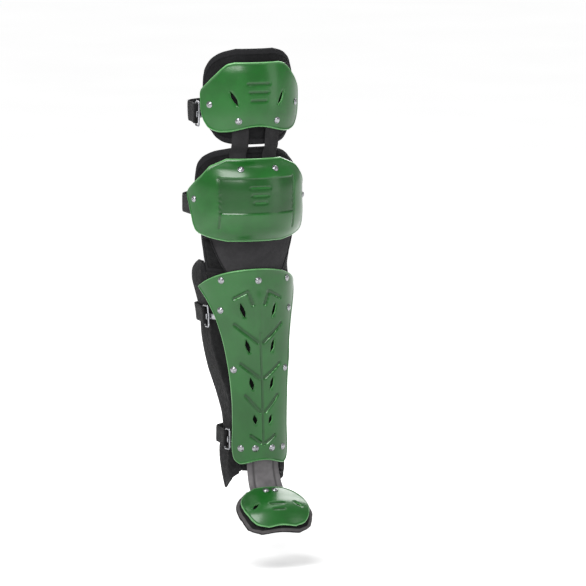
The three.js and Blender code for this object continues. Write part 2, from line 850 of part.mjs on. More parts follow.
// Stations along one side from an arc to where the strap leaves it
function sideStations(strap, side, fromArc, z) {
  const leavesArc = arcAtDepth(strap.form, z, strap.leaves);
  return shares(10).slice(0, -1).map((share) => ({
    arc: side * mix(fromArc, leavesArc, share),
    offset: strapLine,
  }));
}

function sewnEnd(strap, side, z) {
  return sidePath(strap.form, z, sideStations(strap, side, strap.sewnArc, z));
}

// A strap folded back round its wire loop on the left and sewn on under the plate on the right
function hookedStrap(strap) {
  const barArc = strap.hookArc + loopLength;
  const endOffset = strapLine + webbingWall + seatGap;
  const folded = { arc: -(barArc + foldLength), offset: endOffset, tilt: Math.PI };
  const turn = barTurn(-1, barArc, barOffset, barFoldRadius, -1).reverse();
  const pathAt = (z) => [
    ...sidePath(strap.form, z, [
      folded,
      { ...folded, arc: -(barArc + 0.6 * foldLength) },
      { ...folded, arc: -(barArc + 2 * wireRadius), offset: barOffset + barFoldRadius },
      ...turn,
      ...sideStations(strap, -1, barArc, z).slice(1),
    ]),
    ...backPath(strap, z),
    ...sewnEnd(strap, 1, z).reverse(),
  ];
  return bandGeometry(pathAt, strap.z, strap.width, webbingWall);
}

function kneeStrap() {
  const pathAt = (z) => [
    ...sewnEnd(kneeStrapSizes, -1, z),
    ...backPath(kneeStrapSizes, z),
    ...sewnEnd(kneeStrapSizes, 1, z).reverse(),
  ];
  return bandGeometry(pathAt, kneeStrapSizes.z, kneeStrapSizes.width, webbingWall);
}

// Wire loop with cut corners, its back bar in the strap's fold and its front bar in the hook
function wireLoop(strap) {
  const halfLength = loopLength / 2;
  const cut = 2 * wireRadius;
  const halfHeight = strap.width / 2 + cut + seatGap;
  const middle = strap.hookArc + halfLength;
  const rings = shares(7).map((_, corner) => {
    const angle = ((corner + 0.5) * Math.PI) / 4;
    const bySide = Math.abs(Math.cos(angle)) > Math.abs(Math.sin(angle));
    const a = Math.sign(Math.cos(angle)) * (bySide ? halfLength : halfLength - cut);
    const b = Math.sign(Math.sin(angle)) * (bySide ? halfHeight - cut : halfHeight);
    return shares(5).map((__, step) => {
      const turn = (step * Math.PI) / 3;
      const spreadOut = (wireRadius * Math.cos(turn)) / Math.cos(Math.PI / 8);
      return wrapPoint(
        strap.form,
        -(middle + a + spreadOut * Math.cos(angle)),
        strap.z + b + spreadOut * Math.sin(angle),
        barOffset + wireRadius * Math.sin(turn),
      );
    });
  });
  return loftGeometry(rings, true);
}

// Metal hook from under the plate's edge, curled round the front bar of the wire loop
function strapHook(strap) {
  const radius = wireRadius + 4 * seatGap + hookWall / 2;
  const base = { offset: barOffset - radius };
  const pathAt = (z) => sidePath(strap.form, z, [
    { ...base, arc: -(strap.hookArc - loopLength) },
    { ...base, arc: -(strap.hookArc - loopLength / 2) },
    ...barTurn(-1, strap.hookArc, barOffset, radius, 1),
  ]);
  return bandGeometry(pathAt, strap.z, hookWidth, hookWall);
}

// A rivet's domed head on a surface
function rivetHead(pointAt, a, b) {
  const frame = surfaceFrame(pointAt, a, b);
  const profile = [
    new THREE.Vector2(0, 0),
    new THREE.Vector2(rivetRadius, 0),
    new THREE.Vector2(0.78 * rivetRadius, 0.7 * rivetHeight),
    new THREE.Vector2(0, rivetHeight),
  ];
  const head = new THREE.LatheGeometry(profile, 8);
  head.applyQuaternion(
    new THREE.Quaternion().setFromUnitVectors(new THREE.Vector3(0, 1, 0), frame.normal),
  );
  const seat = frame.origin.addScaledVector(frame.normal, seatGap);
  head.translate(seat.x, seat.y, seat.z);
  return head;
}

const leather = { roughness: 0.75, metalness: 0 };
const green = new THREE.MeshStandardMaterial({ color: 0x2f7a34, roughness: 0.25, metalness: 0 });
const black = new THREE.MeshStandardMaterial({ color: 0x17171a, ...leather });
const charcoal = new THREE.MeshStandardMaterial({ color: 0x3a393b, ...leather });
const grey = new THREE.MeshStandardMaterial({ color: 0x5a5759, ...leather });
const steel = new THREE.MeshStandardMaterial({ color: 0xc9cbd0, roughness: 0.25, metalness: 1 });

const guard = new THREE.Group();

function addPiece(name, geometry, material) {
  const mesh = new THREE.Mesh(geometry, material);
  mesh.name = name;
  guard.add(mesh);
  return mesh;
}

addPiece("thigh_plate", thighPlate(), green);
addPiece("thigh_pad", thighPad(), black);
addPiece("knee_plate", kneePlate(), green);
addPiece("knee_pad", kneePad(), black);
addPiece("bridge_pad", bridgePad(), black);
addPiece("bridge_panel", bridgePanel(), charcoal);
addPiece("shin_plate", shinPlate(), green);
addPiece("shin_pad", shinPad(), black);
addPiece("instep_strap", instepStrap(), grey);
addPiece("toe_plate", toePlate(), green);
addPiece("toe_pad", toePad(), grey);
for (const [hand, side] of [["left", -1], ["right", 1]]) {
  addPiece(`link_tab_${hand}`, linkTab(side), charcoal);
  addPiece(`calf_wing_${hand}`, calfWing(side), black);
  addPiece(`ankle_wing_${hand}`, ankleWing(side), black);
}

addPiece("knee_strap", kneeStrap(), black);
for (const strap of hookedStraps) {
  addPiece(`${strap.name}_strap`, hookedStrap(strap), black);
  addPiece(`${strap.name}_loop`, wireLoop(strap), steel);
  addPiece(`${strap.name}_hook`, strapHook(strap), steel);
}

// Rivets, numbered down each plate; those off the middle come in pairs
const rivetSets = [
  { name: "thigh", rows: thighRivets, halfArc: thighHalfArc, pointAt: onThigh, levelAt: thighLevel },
  { name: "knee", rows: kneeRivets, halfArc: kneeHalfArc, pointAt: onKnee, levelAt: kneeLevel },
  { name: "shin", rows: shinRivets, halfArc: shinHalfArc, pointAt: onShin, levelAt: shinLevel },
  { name: "toe", rows: toeRivets, halfArc: toeHalfWidth, pointAt: onToe, levelAt: toeLevel },
];
for (const { name, rows, halfArc, pointAt, levelAt } of rivetSets) {
  rows.forEach((row, index) => {
    const sides = row.arc === 0 ? [["middle", 0]] : [["left", -1], ["right", 1]];
    for (const [hand, side] of sides) {
      const head = rivetHead(pointAt, side * row.arc * halfArc, levelAt(row.at));
      addPiece(`${name}_rivet_${index + 1}_${hand}`, head, steel);
    }
  });
}

export default guard;
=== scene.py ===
import math

import bpy
import numpy as np
from mathutils import Matrix, Vector


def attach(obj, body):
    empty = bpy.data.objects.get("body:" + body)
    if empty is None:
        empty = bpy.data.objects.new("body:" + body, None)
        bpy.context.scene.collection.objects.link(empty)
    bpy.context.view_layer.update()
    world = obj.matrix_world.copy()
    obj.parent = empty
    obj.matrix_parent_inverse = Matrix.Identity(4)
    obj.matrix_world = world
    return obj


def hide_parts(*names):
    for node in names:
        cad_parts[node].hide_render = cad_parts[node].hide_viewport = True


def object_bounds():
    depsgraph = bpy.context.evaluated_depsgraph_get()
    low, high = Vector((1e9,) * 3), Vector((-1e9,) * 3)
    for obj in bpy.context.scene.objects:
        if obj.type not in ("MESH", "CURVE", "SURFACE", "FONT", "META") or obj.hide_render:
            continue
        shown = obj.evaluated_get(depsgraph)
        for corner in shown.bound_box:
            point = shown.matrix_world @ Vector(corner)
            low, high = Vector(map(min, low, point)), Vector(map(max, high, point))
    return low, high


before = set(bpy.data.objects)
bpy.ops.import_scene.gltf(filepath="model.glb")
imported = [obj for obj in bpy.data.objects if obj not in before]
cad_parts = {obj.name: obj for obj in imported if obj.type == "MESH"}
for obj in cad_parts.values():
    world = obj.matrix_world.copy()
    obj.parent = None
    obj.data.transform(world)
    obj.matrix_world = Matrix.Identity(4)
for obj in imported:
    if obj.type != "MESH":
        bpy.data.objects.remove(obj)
cad_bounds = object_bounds()

# Walls and clearance
MM = 0.001
PLATE_WALL = 3 * MM
WEBBING_WALL = 2 * MM
THIGH_PAD_WALL = 14 * MM
KNEE_PAD_WALL = 20 * MM
BRIDGE_PAD_WALL = 12 * MM
SHIN_PAD_WALL = 11 * MM
WING_WALL = 8 * MM
TOE_PAD_WALL = 9 * MM
SEAT_GAP = 0.3 * MM
LAYER_GAP = 0.7 * MM

# Heights of the plates and the spaces between them
KNEE_HEIGHT = 129 * MM
THIGH_HEIGHT = 109 * MM
SHIN_LENGTH = 314 * MM
THIGH_KNEE_SPACE = 41 * MM
KNEE_SHIN_SPACE = 46 * MM
PAD_RISE = 20 * MM
FLARE_DROP = 32 * MM
THIGH_NOTCH = 9 * MM
SHIN_NOTCH = 7 * MM

# Widths along the curve from the middle to the edge, and the radii
THIGH_HALF_ARC = 100 * MM
KNEE_HALF_ARC = 136 * MM
SHIN_HALF_ARC = 110 * MM
THIGH_RADIUS = 88 * MM
KNEE_RADIUS = 95 * MM
SHIN_RADIUS = 80 * MM
CORNER_RADIUS = 22 * MM

# How far the plates stand in front of the origin, and where the leg's middle lies
THIGH_FRONT = 36 * MM
KNEE_FRONT = 50 * MM
SHIN_SETBACK = 33 * MM
THIGH_AXIS = 5 * MM
KNEE_AXIS = 3 * MM
SHIN_SHIFT = 6 * MM
SHIN_CANT = math.radians(4.1)

# Toe plate, wings, straps and hardware
TOE_REACH = 70 * MM
TOE_DROP = 52 * MM
TOE_HALF_WIDTH = 56 * MM
TOE_DOME_RADIUS = 140 * MM
TOE_PAD_RIM = 9 * MM
TOE_NOTCH = 0.03
WING_DEPTH = 112 * MM
STRAP_DEPTH = 24 * MM
TAB_WIDTH = 28 * MM
INSTEP_WIDTH = 58 * MM
VENT_LENGTH = 27 * MM
VENT_WIDTH = 7 * MM
RIVET_RADIUS = 5.2 * MM
RIVET_HEIGHT = 2.4 * MM
WIRE_RADIUS = 1.5 * MM
LOOP_LENGTH = 14 * MM
HOOK_WALL = 1.5 * MM
HOOK_WIDTH = 9 * MM
FOLD_LENGTH = 22 * MM

# Relief of the mouldings and the sewing
LIP_WIDTH = 2.6 * MM
LIP_RISE = 0.8 * MM
EDGE_ROUND = 1.3 * MM
GROOVE_WIDTH = 5.2 * MM
GROOVE_DEPTH = 2.3 * MM
GROOVE_WALL = 1.5 * MM
BAR_WIDTH = 4.4 * MM
BAR_DEPTH = 1.5 * MM
BAR_WALL = 1.5 * MM
CREASE_WIDTH = 3.2 * MM
CREASE_DEPTH = 1.7 * MM
CREASE_WALL = 1.9 * MM
SPINE_WIDTH = 3.4 * MM
SPINE_DEPTH = 1.8 * MM
SPINE_WALL = 1.8 * MM
RIDGE_WIDTH = 6 * MM
RIDGE_RISE = 1.6 * MM
BINDING_WIDTH = 9 * MM
BINDING_RISE = 0.5 * MM
PIPING_RADIUS = 2.2 * MM
PANEL_PIPING_RADIUS = 1.7 * MM
TOP_SEAM_RADIUS = 4.2 * MM
SIDE_SEAM_RADIUS = 3.2 * MM
TOE_PAD_SPREAD = 2 * MM

# Levels down the leg
KNEE_TOP = 0.49 * KNEE_HEIGHT
KNEE_BOTTOM = KNEE_TOP - KNEE_HEIGHT
THIGH_BOTTOM = KNEE_TOP + THIGH_KNEE_SPACE
THIGH_TOP = THIGH_BOTTOM + THIGH_HEIGHT
THIGH_PAD_BOTTOM = THIGH_BOTTOM - PAD_RISE
SHIN_TOP = KNEE_BOTTOM - KNEE_SHIN_SPACE
SHIN_BOTTOM = SHIN_TOP - SHIN_LENGTH
KNEE_PAD_BOTTOM = KNEE_BOTTOM + 0.07 * KNEE_HEIGHT
KNEE_PAD_TOP = KNEE_TOP + 0.8 * PAD_RISE
BRIDGE_BOTTOM = SHIN_TOP - 0.033 * SHIN_LENGTH
WING_SEAM = SHIN_TOP - 0.863 * SHIN_LENGTH
SHIN_PAD_BOTTOM = SHIN_BOTTOM - 0.6 * PAD_RISE

# Layers under a plate: webbing or the grey panel first, then the pads
WEBBING_FACE = -(PLATE_WALL + LAYER_GAP)
PAD_FACE = WEBBING_FACE - WEBBING_WALL - LAYER_GAP
STRAP_LINE = PAD_FACE + LAYER_GAP + WEBBING_WALL / 2
KNEE_HOLLOW = KNEE_FRONT + PAD_FACE - KNEE_PAD_WALL
BAR_FOLD_RADIUS = WIRE_RADIUS + 2 * SEAT_GAP + WEBBING_WALL / 2
BAR_OFFSET = STRAP_LINE + BAR_FOLD_RADIUS

SIDES = (("left", -1), ("right", 1))


def table(columns, *rows):
    """A table whose named columns are arrays."""
    return dict(zip(columns.split(), np.array(rows, float).T))


# Sections: "front" is a share of the named front, "radius" of the named radius, and "side"
# the half width as a share of that radius
THIGH_ROWS = table(
    "at front radius side",
    (-0.3, 0.7, 0.96, 0.93),
    (0, 0.83, 0.98, 0.93),
    (0.25, 0.97, 1, 0.93),
    (0.55, 1, 1, 0.93),
    (0.85, 0.94, 1, 0.93),
    (1, 0.83, 1, 0.93),
    (1.25, 0.75, 1, 0.93),
)
KNEE_ROWS = table(
    "at front radius side",
    (-0.1, 0.3, 0.96, 0.97),
    (0, 0.52, 0.98, 0.985),
    (0.12, 0.8, 1, 0.985),
    (0.28, 0.96, 1, 0.985),
    (0.51, 1, 1, 0.985),
    (0.74, 0.96, 1, 0.985),
    (0.88, 0.78, 1, 0.985),
    (1, 0.46, 0.98, 0.985),
    (1.14, 0.32, 0.94, 0.985),
)
SHIN_ROWS = table(
    "at front radius side edge",
    (-0.2, 0.62, 1.1, 0.985, 1.02),
    (-0.08, 0.3, 1.04, 0.985, 0.97),
    (0, 0.06, 1, 0.985, 0.91),
    (0.1, -0.03, 1, 0.985, 0.8),
    (0.24, -0.17, 0.98, 0.92, 0.6),
    (0.38, -0.28, 0.97, 0.92, 0.49),
    (0.525, -0.4, 0.97, 0.83, 0.43),
    (0.67, -0.57, 0.9, 0.74, 0.39),
    (0.81, -0.76, 0.8, 0.78, 0.39),
    (0.96, -0.94, 0.73, 0.91, 0.39),
    (1.05, -1.04, 0.71, 0.94, 0.37),
    (1.2, -1.2, 0.68, 0.92, 0.35),
)

# Outlines: "half" is the half width at each share of the height, as a share of the named arc
THIGH_OUTLINE = table(
    "at half",
    (0, 0.63), (0.03, 0.76), (0.12, 0.89), (0.275, 0.98), (0.42, 1), (0.6, 0.99),
    (0.68, 0.89), (0.82, 0.71), (0.945, 0.54), (0.98, 0.47), (1, 0.37),
)
KNEE_OUTLINE = table(
    "at half",
    (0, 0.34), (0.04, 0.55), (0.1, 0.75), (0.18, 0.84), (0.3, 0.9), (0.465, 0.965),
    (0.58, 1), (0.72, 0.84), (0.81, 0.71), (0.865, 0.64), (0.915, 0.57), (0.955, 0.46),
    (1, 0.34),
)
SHIN_OUTLINE = table(
    "at half",
    (0, 1), (0.057, 0.845), (0.152, 0.686), (0.23, 0.61), (0.31, 0.555), (0.47, 0.489),
    (0.63, 0.457), (0.79, 0.462), (0.94, 0.473), (0.98, 0.436), (1, 0.364),
)
THIGH_PAD_OUTLINE = table(
    "at half",
    (0, 0.36), (0.014, 0.52), (0.047, 0.67), (0.12, 0.82), (0.21, 0.95), (0.34, 1.08),
    (0.71, 1.06), (0.82, 0.95), (0.905, 0.8), (0.966, 0.59), (1, 0.36),
)
KNEE_PAD_OUTLINE = table(
    "at half",
    (0, 0.84), (0.2, 0.9), (0.4, 0.97), (0.6, 0.97), (0.74, 0.91), (0.84, 0.8),
    (0.91, 0.65), (0.956, 0.5), (0.985, 0.32), (1, 0.22),
)
TOE_ROWS = table(
    "at reach drop half",
    (-0.2, -0.2, -0.16, 0.4),
    (0, 0, 0, 0.43),
    (0.07, 0.085, 0.04, 0.66),
    (0.16, 0.2, 0.1, 0.84),
    (0.3, 0.36, 0.19, 0.97),
    (0.5, 0.61, 0.34, 1),
    (0.68, 0.79, 0.52, 0.95),
    (0.84, 0.91, 0.75, 0.84),
    (0.94, 0.97, 0.91, 0.68),
    (1, 1, 1, 0.42),
    (1.2, 1.06, 1.3, 0.3),
)
WING_ROWS = table(
    "at back",
    (-0.02, 0.7), (0.005, 0.88), (0.035, 1), (0.15, 0.98), (0.39, 0.98), (0.57, 1),
    (0.67, 0.98), (0.76, 0.9), (0.83, 0.88), (0.865, 0.8), (0.9, 0.98), (0.97, 1.05),
    (1.05, 1.02), (1.14, 0.96), (1.2, 0.9),
)

# Rivets by plate: (share of the half arc, share of the height)
THIGH_RIVETS = [(0.81, 0.394), (0.32, 0.165)]
KNEE_RIVETS = [(0.21, 0.884), (0.85, 0.51)]
SHIN_RIVETS = [(0, 0.06), (0.54, 0.06), (0.57, 0.213), (0.408, 0.513), (0.336, 0.917), (0.126, 0.917)]
TOE_RIVETS = [(0.13, 0.12)]

# Vents: share of the half arc, share of the height, length as a share, lean in degrees
THIGH_VENTS = [(0.4, 0.486, 1.05, 28)]
SHIN_VENTS = [
    (0.242, 0.213, 1, 17),
    (0.191, 0.395, 0.92, 15),
    (0.155, 0.586, 0.85, 13),
    (0.118, 0.771, 0.65, 12),
]
TOE_VENTS = [(0.64, 0.52, 0.6, -50)]

# Pressed channels of the shin plate: (outer arc, its level, inner arc, its level), as shares
SHIN_CHANNELS = [
    (0.364, 0.283, 0.04, 0.373),
    (0.3, 0.484, 0.04, 0.554),
    (0.245, 0.646, 0.04, 0.729),
    (0.182, 0.853, 0.04, 0.889),
    (0.36, 0.15, 0.16, 0.115),
    (0.16, 0.115, 0.09, 0.18),
]
SPINE_TOP = 0.33
SPINE_BOTTOM = 0.9

# Plain bars pressed into the plates: (share of the height, half length)
THIGH_BARS = [(0.69, 17 * MM), (0.57, 14 * MM), (0.45, 11 * MM)]
KNEE_BARS = [(0.66, 15 * MM), (0.57, 12 * MM), (0.48, 9 * MM)]
TOE_BARS = [(0.52, 11 * MM), (0.66, 8 * MM)]

# The knee plate's pressed front panel, as shares of its half arc and height
KNEE_PANEL_ARC = 0.48
KNEE_PANEL_BOTTOM = 0.353
KNEE_PANEL_TOP = 0.777
KNEE_CREASE_BOTTOM = 0.17


def curve(rows, column):
    """A smooth curve through one column of a table, held level past its ends."""
    places = rows["at"]
    values = rows[column]
    last = len(places) - 1

    def value_at(share):
        share = np.clip(share, places[0], places[-1])
        i = np.clip(np.searchsorted(places, share, side="right"), 1, last)
        t0, t1 = places[i - 1], places[i]
        v0, v1 = values[i - 1], values[i]
        t_before = np.where(i > 1, places[np.maximum(i - 2, 0)], t1)
        v_before = np.where(i > 1, values[np.maximum(i - 2, 0)], v1)
        t_after = np.where(i < last, places[np.minimum(i + 1, last)], t0)
        v_after = np.where(i < last, values[np.minimum(i + 1, last)], v0)
        w_before = (t1 - t0) / 2 / (t0 - t_before)
        w_after = (t1 - t0) / 2 / (t_after - t1)
        p = (share - t0) / (t1 - t0)
        return (
            v_before * w_before * (-(p**3) + 2 * p**2 - p)
            + v0 * ((1 + w_before) * p**3 - (1.5 + 2 * w_before) * p**2 + (w_before - 0.5) * p + 1)
            + v1 * (-(1 + w_after) * p**3 + (1.5 + w_after) * p**2 + 0.5 * p)
            + v_after * w_after * (p**3 - p**2)
        )

    return value_at


def smooth(value, low=0.0, high=1.0):
    """0 below low, 1 above high, with a soft step between them."""
    t = np.clip((value - low) / (high - low), 0, 1)
    return t * t * (3 - 2 * t)


def mix(a, b, share):
    return a + (b - a) * share


def matched(*values):
    """Arrays of one shape."""
    return np.broadcast_arrays(*(np.asarray(value, float) for value in values))


def zone(rows, front, radius, share_at, axis_at):
    """The section of one zone of the guard, as a function of the level."""
    front_at = curve(rows, "front")
    radius_at = curve(rows, "radius")
    side_at = curve(rows, "side")

    def section_at(z):
        share = share_at(z)
        arc_radius = radius * radius_at(share)
        front_here = front * front_at(share)
        half = arc_radius * side_at(share)
        turn = np.arcsin((half - CORNER_RADIUS) / (arc_radius - CORNER_RADIUS))
        front_run = arc_radius * turn
        return {
            "axis": axis_at(z),
            "radius": arc_radius,
            "front": front_here,
            "half": half,
            "turn": turn,
            "front_run": front_run,
            "side_run": front_run + CORNER_RADIUS * (np.pi / 2 - turn),
            "side_y": arc_radius - front_here - (arc_radius - CORNER_RADIUS) * np.cos(turn),
        }

    return section_at


def thigh_level(share):
    return THIGH_BOTTOM + share * THIGH_HEIGHT


def knee_level(share):
    return KNEE_BOTTOM + share * KNEE_HEIGHT


def shin_level(share):
    return SHIN_TOP - share * SHIN_LENGTH


def shin_share(z):
    return (SHIN_TOP - z) / SHIN_LENGTH


def shin_axis(z):
    return SHIN_SHIFT - z * math.tan(SHIN_CANT)


thigh_zone = zone(
    THIGH_ROWS, THIGH_FRONT, THIGH_RADIUS,
    lambda z: (z - THIGH_BOTTOM) / THIGH_HEIGHT, lambda z: THIGH_AXIS + 0 * z,
)
knee_zone = zone(
    KNEE_ROWS, KNEE_FRONT, KNEE_RADIUS,
    lambda z: (z - KNEE_BOTTOM) / KNEE_HEIGHT, lambda z: KNEE_AXIS + 0 * z,
)
shin_zone = zone(SHIN_ROWS, SHIN_SETBACK, SHIN_RADIUS, shin_share, shin_axis)
liner_edge = curve(SHIN_ROWS, "edge")
wing_back = curve(WING_ROWS, "back")
toe_reach = curve(TOE_ROWS, "reach")
toe_drop = curve(TOE_ROWS, "drop")
toe_half = curve(TOE_ROWS, "half")


def wrap(section_at, arc, z, offset=0.0):
    """Points of the guard's section: along the front arc, round the corner, straight back."""
    arc, z, offset = matched(arc, z, offset)
    s = section_at(z)
    run = np.abs(arc)
    inner = s["radius"] - CORNER_RADIUS
    centre = s["radius"] - s["front"]
    on_front = run < s["front_run"]
    on_corner = ~on_front & (run < s["side_run"])
    front_angle = run / s["radius"]
    corner_angle = s["turn"] + (run - s["front_run"]) / CORNER_RADIUS
    angle = np.select([on_front, on_corner], [front_angle, corner_angle], np.pi / 2)
    x = np.select(
        [on_front, on_corner],
        [
            s["radius"] * np.sin(front_angle),
            inner * np.sin(s["turn"]) + CORNER_RADIUS * np.sin(corner_angle),
        ],
        s["half"],
    )
    y = np.select(
        [on_front, on_corner],
        [
            centre - s["radius"] * np.cos(front_angle),
            centre - inner * np.cos(s["turn"]) - CORNER_RADIUS * np.cos(corner_angle),
        ],
        s["side_y"] + run - s["side_run"],
    )
    out_x = x + offset * np.sin(angle)
    return np.stack([s["axis"] + np.sign(arc) * out_x, y - offset * np.cos(angle), z], -1)


def on_thigh(arc, z, offset=0.0):
    return wrap(thigh_zone, arc, z, offset)


def on_knee(arc, z, offset=0.0):
    return wrap(knee_zone, arc, z, offset)


def on_shin(arc, z, offset=0.0):
    return wrap(shin_zone, arc, z, offset)


def on_toe(across, along, offset=0.0):
    """The toe plate's surface: "along" is a share of its length."""
    across, along, offset = matched(across, along, offset)
    step = 0.01
    drop_run = TOE_DROP * (toe_drop(along + step) - toe_drop(along - step))
    reach_run = TOE_REACH * (toe_reach(along + step) - toe_reach(along - step))
    slope = np.arctan2(drop_run, reach_run)
    angle = across / TOE_DOME_RADIUS
    dip = TOE_DOME_RADIUS - (TOE_DOME_RADIUS + offset) * np.cos(angle)
    start_z = SHIN_BOTTOM - 1.7 * PAD_RISE
    start_y = SHIN_SETBACK * 0.67
    return np.stack(
        [
            shin_axis(start_z) + (TOE_DOME_RADIUS + offset) * np.sin(angle),
            start_y - TOE_REACH * toe_reach(along) + dip * np.sin(slope),
            start_z - TOE_DROP * toe_drop(along) - dip * np.cos(slope),
        ],
        -1,
    )


def toe_up(across, up, offset=0.0):
    """The toe plate's surface by metres across and metres up from its top edge."""
    return on_toe(across, -np.asarray(up, float) / math.hypot(TOE_REACH, TOE_DROP), offset)


def toe_level(share):
    return -share * math.hypot(TOE_REACH, TOE_DROP)


def arc_at_depth(section_at, z, depth):
    """The arc at which the straight side reaches a depth behind the origin."""
    s = section_at(z)
    return s["side_run"] + depth - s["side_y"]


# Materials


def rgb(text):
    """A linear colour from a hexadecimal one."""
    parts = [int(text[i:i + 2], 16) / 255 for i in (0, 2, 4)]
    return [c / 12.92 if c <= 0.04045 else ((c + 0.055) / 1.055) ** 2.4 for c in parts] + [1.0]


class Finish:
    """A material under construction: nodes are added and joined by name."""

    def __init__(self, name, **sockets):
        self.material = bpy.data.materials.new(name)
        self.material.use_nodes = True
        self.tree = self.material.node_tree
        self.shader = self.tree.nodes["Principled BSDF"]
        for socket, value in sockets.items():
            self.shader.inputs[socket.replace("_", " ")].default_value = value

    def node(self, kind, inputs=(), **settings):
        made = self.tree.nodes.new(kind)
        for key, value in settings.items():
            setattr(made, key, value)
        for socket, value in dict(inputs).items():
            if isinstance(value, bpy.types.NodeSocket):
                self.tree.links.new(value, made.inputs[socket])
            else:
                made.inputs[socket].default_value = value
        return made

    def attribute(self, name, output):
        return self.node("ShaderNodeAttribute", attribute_name=name).outputs[output]

    def place(self):
        return self.node("ShaderNodeTexCoord").outputs["Object"]

    def noise(self, scale, detail):
        inputs = {"Scale": scale, "Detail": detail, "Vector": self.place()}
        return self.node("ShaderNodeTexNoise", inputs).outputs["Fac"]

    def mottle(self, scale, detail, low, high, to_low=0.0, to_high=1.0):
        """Noise spread between two levels."""
        return self.span(self.noise(scale, detail), low, high, to_low, to_high)

    def math(self, operation, a, b=0.0):
        return self.node("ShaderNodeMath", {0: a, 1: b}, operation=operation).outputs[0]

    def span(self, value, low, high, to_low=0.0, to_high=1.0):
        inputs = {"Value": value, "From Min": low, "From Max": high, "To Min": to_low, "To Max": to_high}
        made = self.node("ShaderNodeMapRange", inputs, interpolation_type="SMOOTHSTEP")
        return made.outputs["Result"]

    def blend(self, share, a, b):
        made = self.node("ShaderNodeMix", data_type="RGBA")
        for socket, value in (("Factor_Float", share), ("A_Color", a), ("B_Color", b)):
            target = next(s for s in made.inputs if s.identifier == socket)
            if isinstance(value, bpy.types.NodeSocket):
                self.tree.links.new(value, target)
            else:
                target.default_value = value
        return next(s for s in made.outputs if s.identifier == "Result_Color")

    def bump(self, height, distance, strength=1.0, under=None):
        inputs = {"Height": height, "Distance": distance, "Strength": strength}
        if under is not None:
            inputs["Normal"] = under
        return self.node("ShaderNodeBump", inputs).outputs["Normal"]

    def colour(self, value):
        self.tree.links.new(value, self.shader.inputs["Base Color"])

    def roughness(self, value):
        self.tree.links.new(value, self.shader.inputs["Roughness"])

    def normal(self, value):
        self.tree.links.new(value, self.shader.inputs["Normal"])

    def threads(self, pitch):
        """A plain weave's height, from the piece's own cloth coordinates."""
        cloth = self.attribute("weave", "Vector")
        parts = self.node("ShaderNodeSeparateXYZ", {"Vector": cloth})
        waves = []
        for axis in ("X", "Y"):
            turns = self.math("MULTIPLY", parts.outputs[axis], math.pi / pitch)
            waves.append(self.math("SINE", turns))
        crossing = self.math("MULTIPLY", waves[0], waves[1])
        over = self.math("GREATER_THAN", crossing, 0.0)
        warp = self.math("ABSOLUTE", waves[0])
        weft = self.math("ABSOLUTE", waves[1])
        under = self.math("SUBTRACT", 1.0, over)
        return self.math(
            "ADD", self.math("MULTIPLY", warp, over), self.math("MULTIPLY", weft, under)
        )


def moulded_green():
    finish = Finish("moulded_green", Coat_Weight=0.12, Coat_Roughness=0.1)
    tone = finish.mottle(14.0, 3.0, 0.35, 0.65)
    body = finish.blend(tone, rgb("084a0f"), rgb("0d5515"))
    cloudy = finish.mottle(55.0, 6.0, 0.45, 0.75)
    body = finish.blend(finish.math("MULTIPLY", cloudy, 0.2), body, rgb("1b6122"))
    # Painted shade: the pressed hollows are painted a darker green by their depth
    painted_hollow_shade = finish.math("MULTIPLY", finish.attribute("hollow", "Fac"), 0.55)
    body = finish.blend(painted_hollow_shade, body, rgb("062f0a"))
    # The lip is painted pale, partly as wear and partly as a painted highlight on the rolled edge; walls
    # marked in plate() get the same painted highlight
    rim = finish.span(finish.attribute("edge", "Fac"), 0.4 * MM, LIP_WIDTH, 1.0, 0.0)
    edge_wear_and_highlight = finish.math("MULTIPLY", rim, finish.mottle(120.0, 5.0, 0.2, 0.6, 0.55, 0.85))
    finish.colour(finish.blend(edge_wear_and_highlight, body, rgb("6fae6e")))
    scuffs = finish.mottle(260.0, 8.0, 0.55, 0.8)
    finish.roughness(finish.span(scuffs, 0.0, 1.0, 0.28, 0.4))
    peel = finish.bump(finish.noise(420.0, 2.0), 0.03 * MM, 0.15)
    finish.normal(finish.bump(finish.noise(24.0, 2.0), 0.8 * MM, 0.2, peel))
    return finish.material


def woven(name, dark, light, pitch, relief, rough=0.8, sheen=0.15, tape=None):
    """Cloth of one weave: threads, a soft variation of tone, and fibres that catch light."""
    finish = Finish(name, Sheen_Weight=sheen, Sheen_Roughness=0.45, Specular_IOR_Level=0.15)
    finish.shader.inputs["Sheen Tint"].default_value = rgb(light)
    threads = finish.threads(pitch)
    tone = finish.mottle(35.0, 5.0, 0.3, 0.7)
    cloth = finish.blend(tone, rgb(dark), rgb(light))
    lit = finish.math("MULTIPLY", threads, finish.noise(900.0, 2.0))
    cloth = finish.blend(finish.math("MULTIPLY", lit, 0.35), cloth, rgb(light))
    # The binding tape round the rim is painted a lighter black as a painted sheen
    if tape:
        rim = finish.span(finish.attribute("edge", "Fac"), 0.85 * BINDING_WIDTH, BINDING_WIDTH, 1.0, 0.0)
        cloth = finish.blend(rim, cloth, rgb(tape))
    finish.colour(cloth)
    finish.roughness(finish.mottle(180.0, 4.0, 0.3, 0.7, rough - 0.08, rough + 0.08))
    creases = finish.bump(finish.noise(28.0, 2.0), 1.6 * MM, 0.3)
    finish.normal(finish.bump(threads, relief, 0.8, creases))
    return finish.material


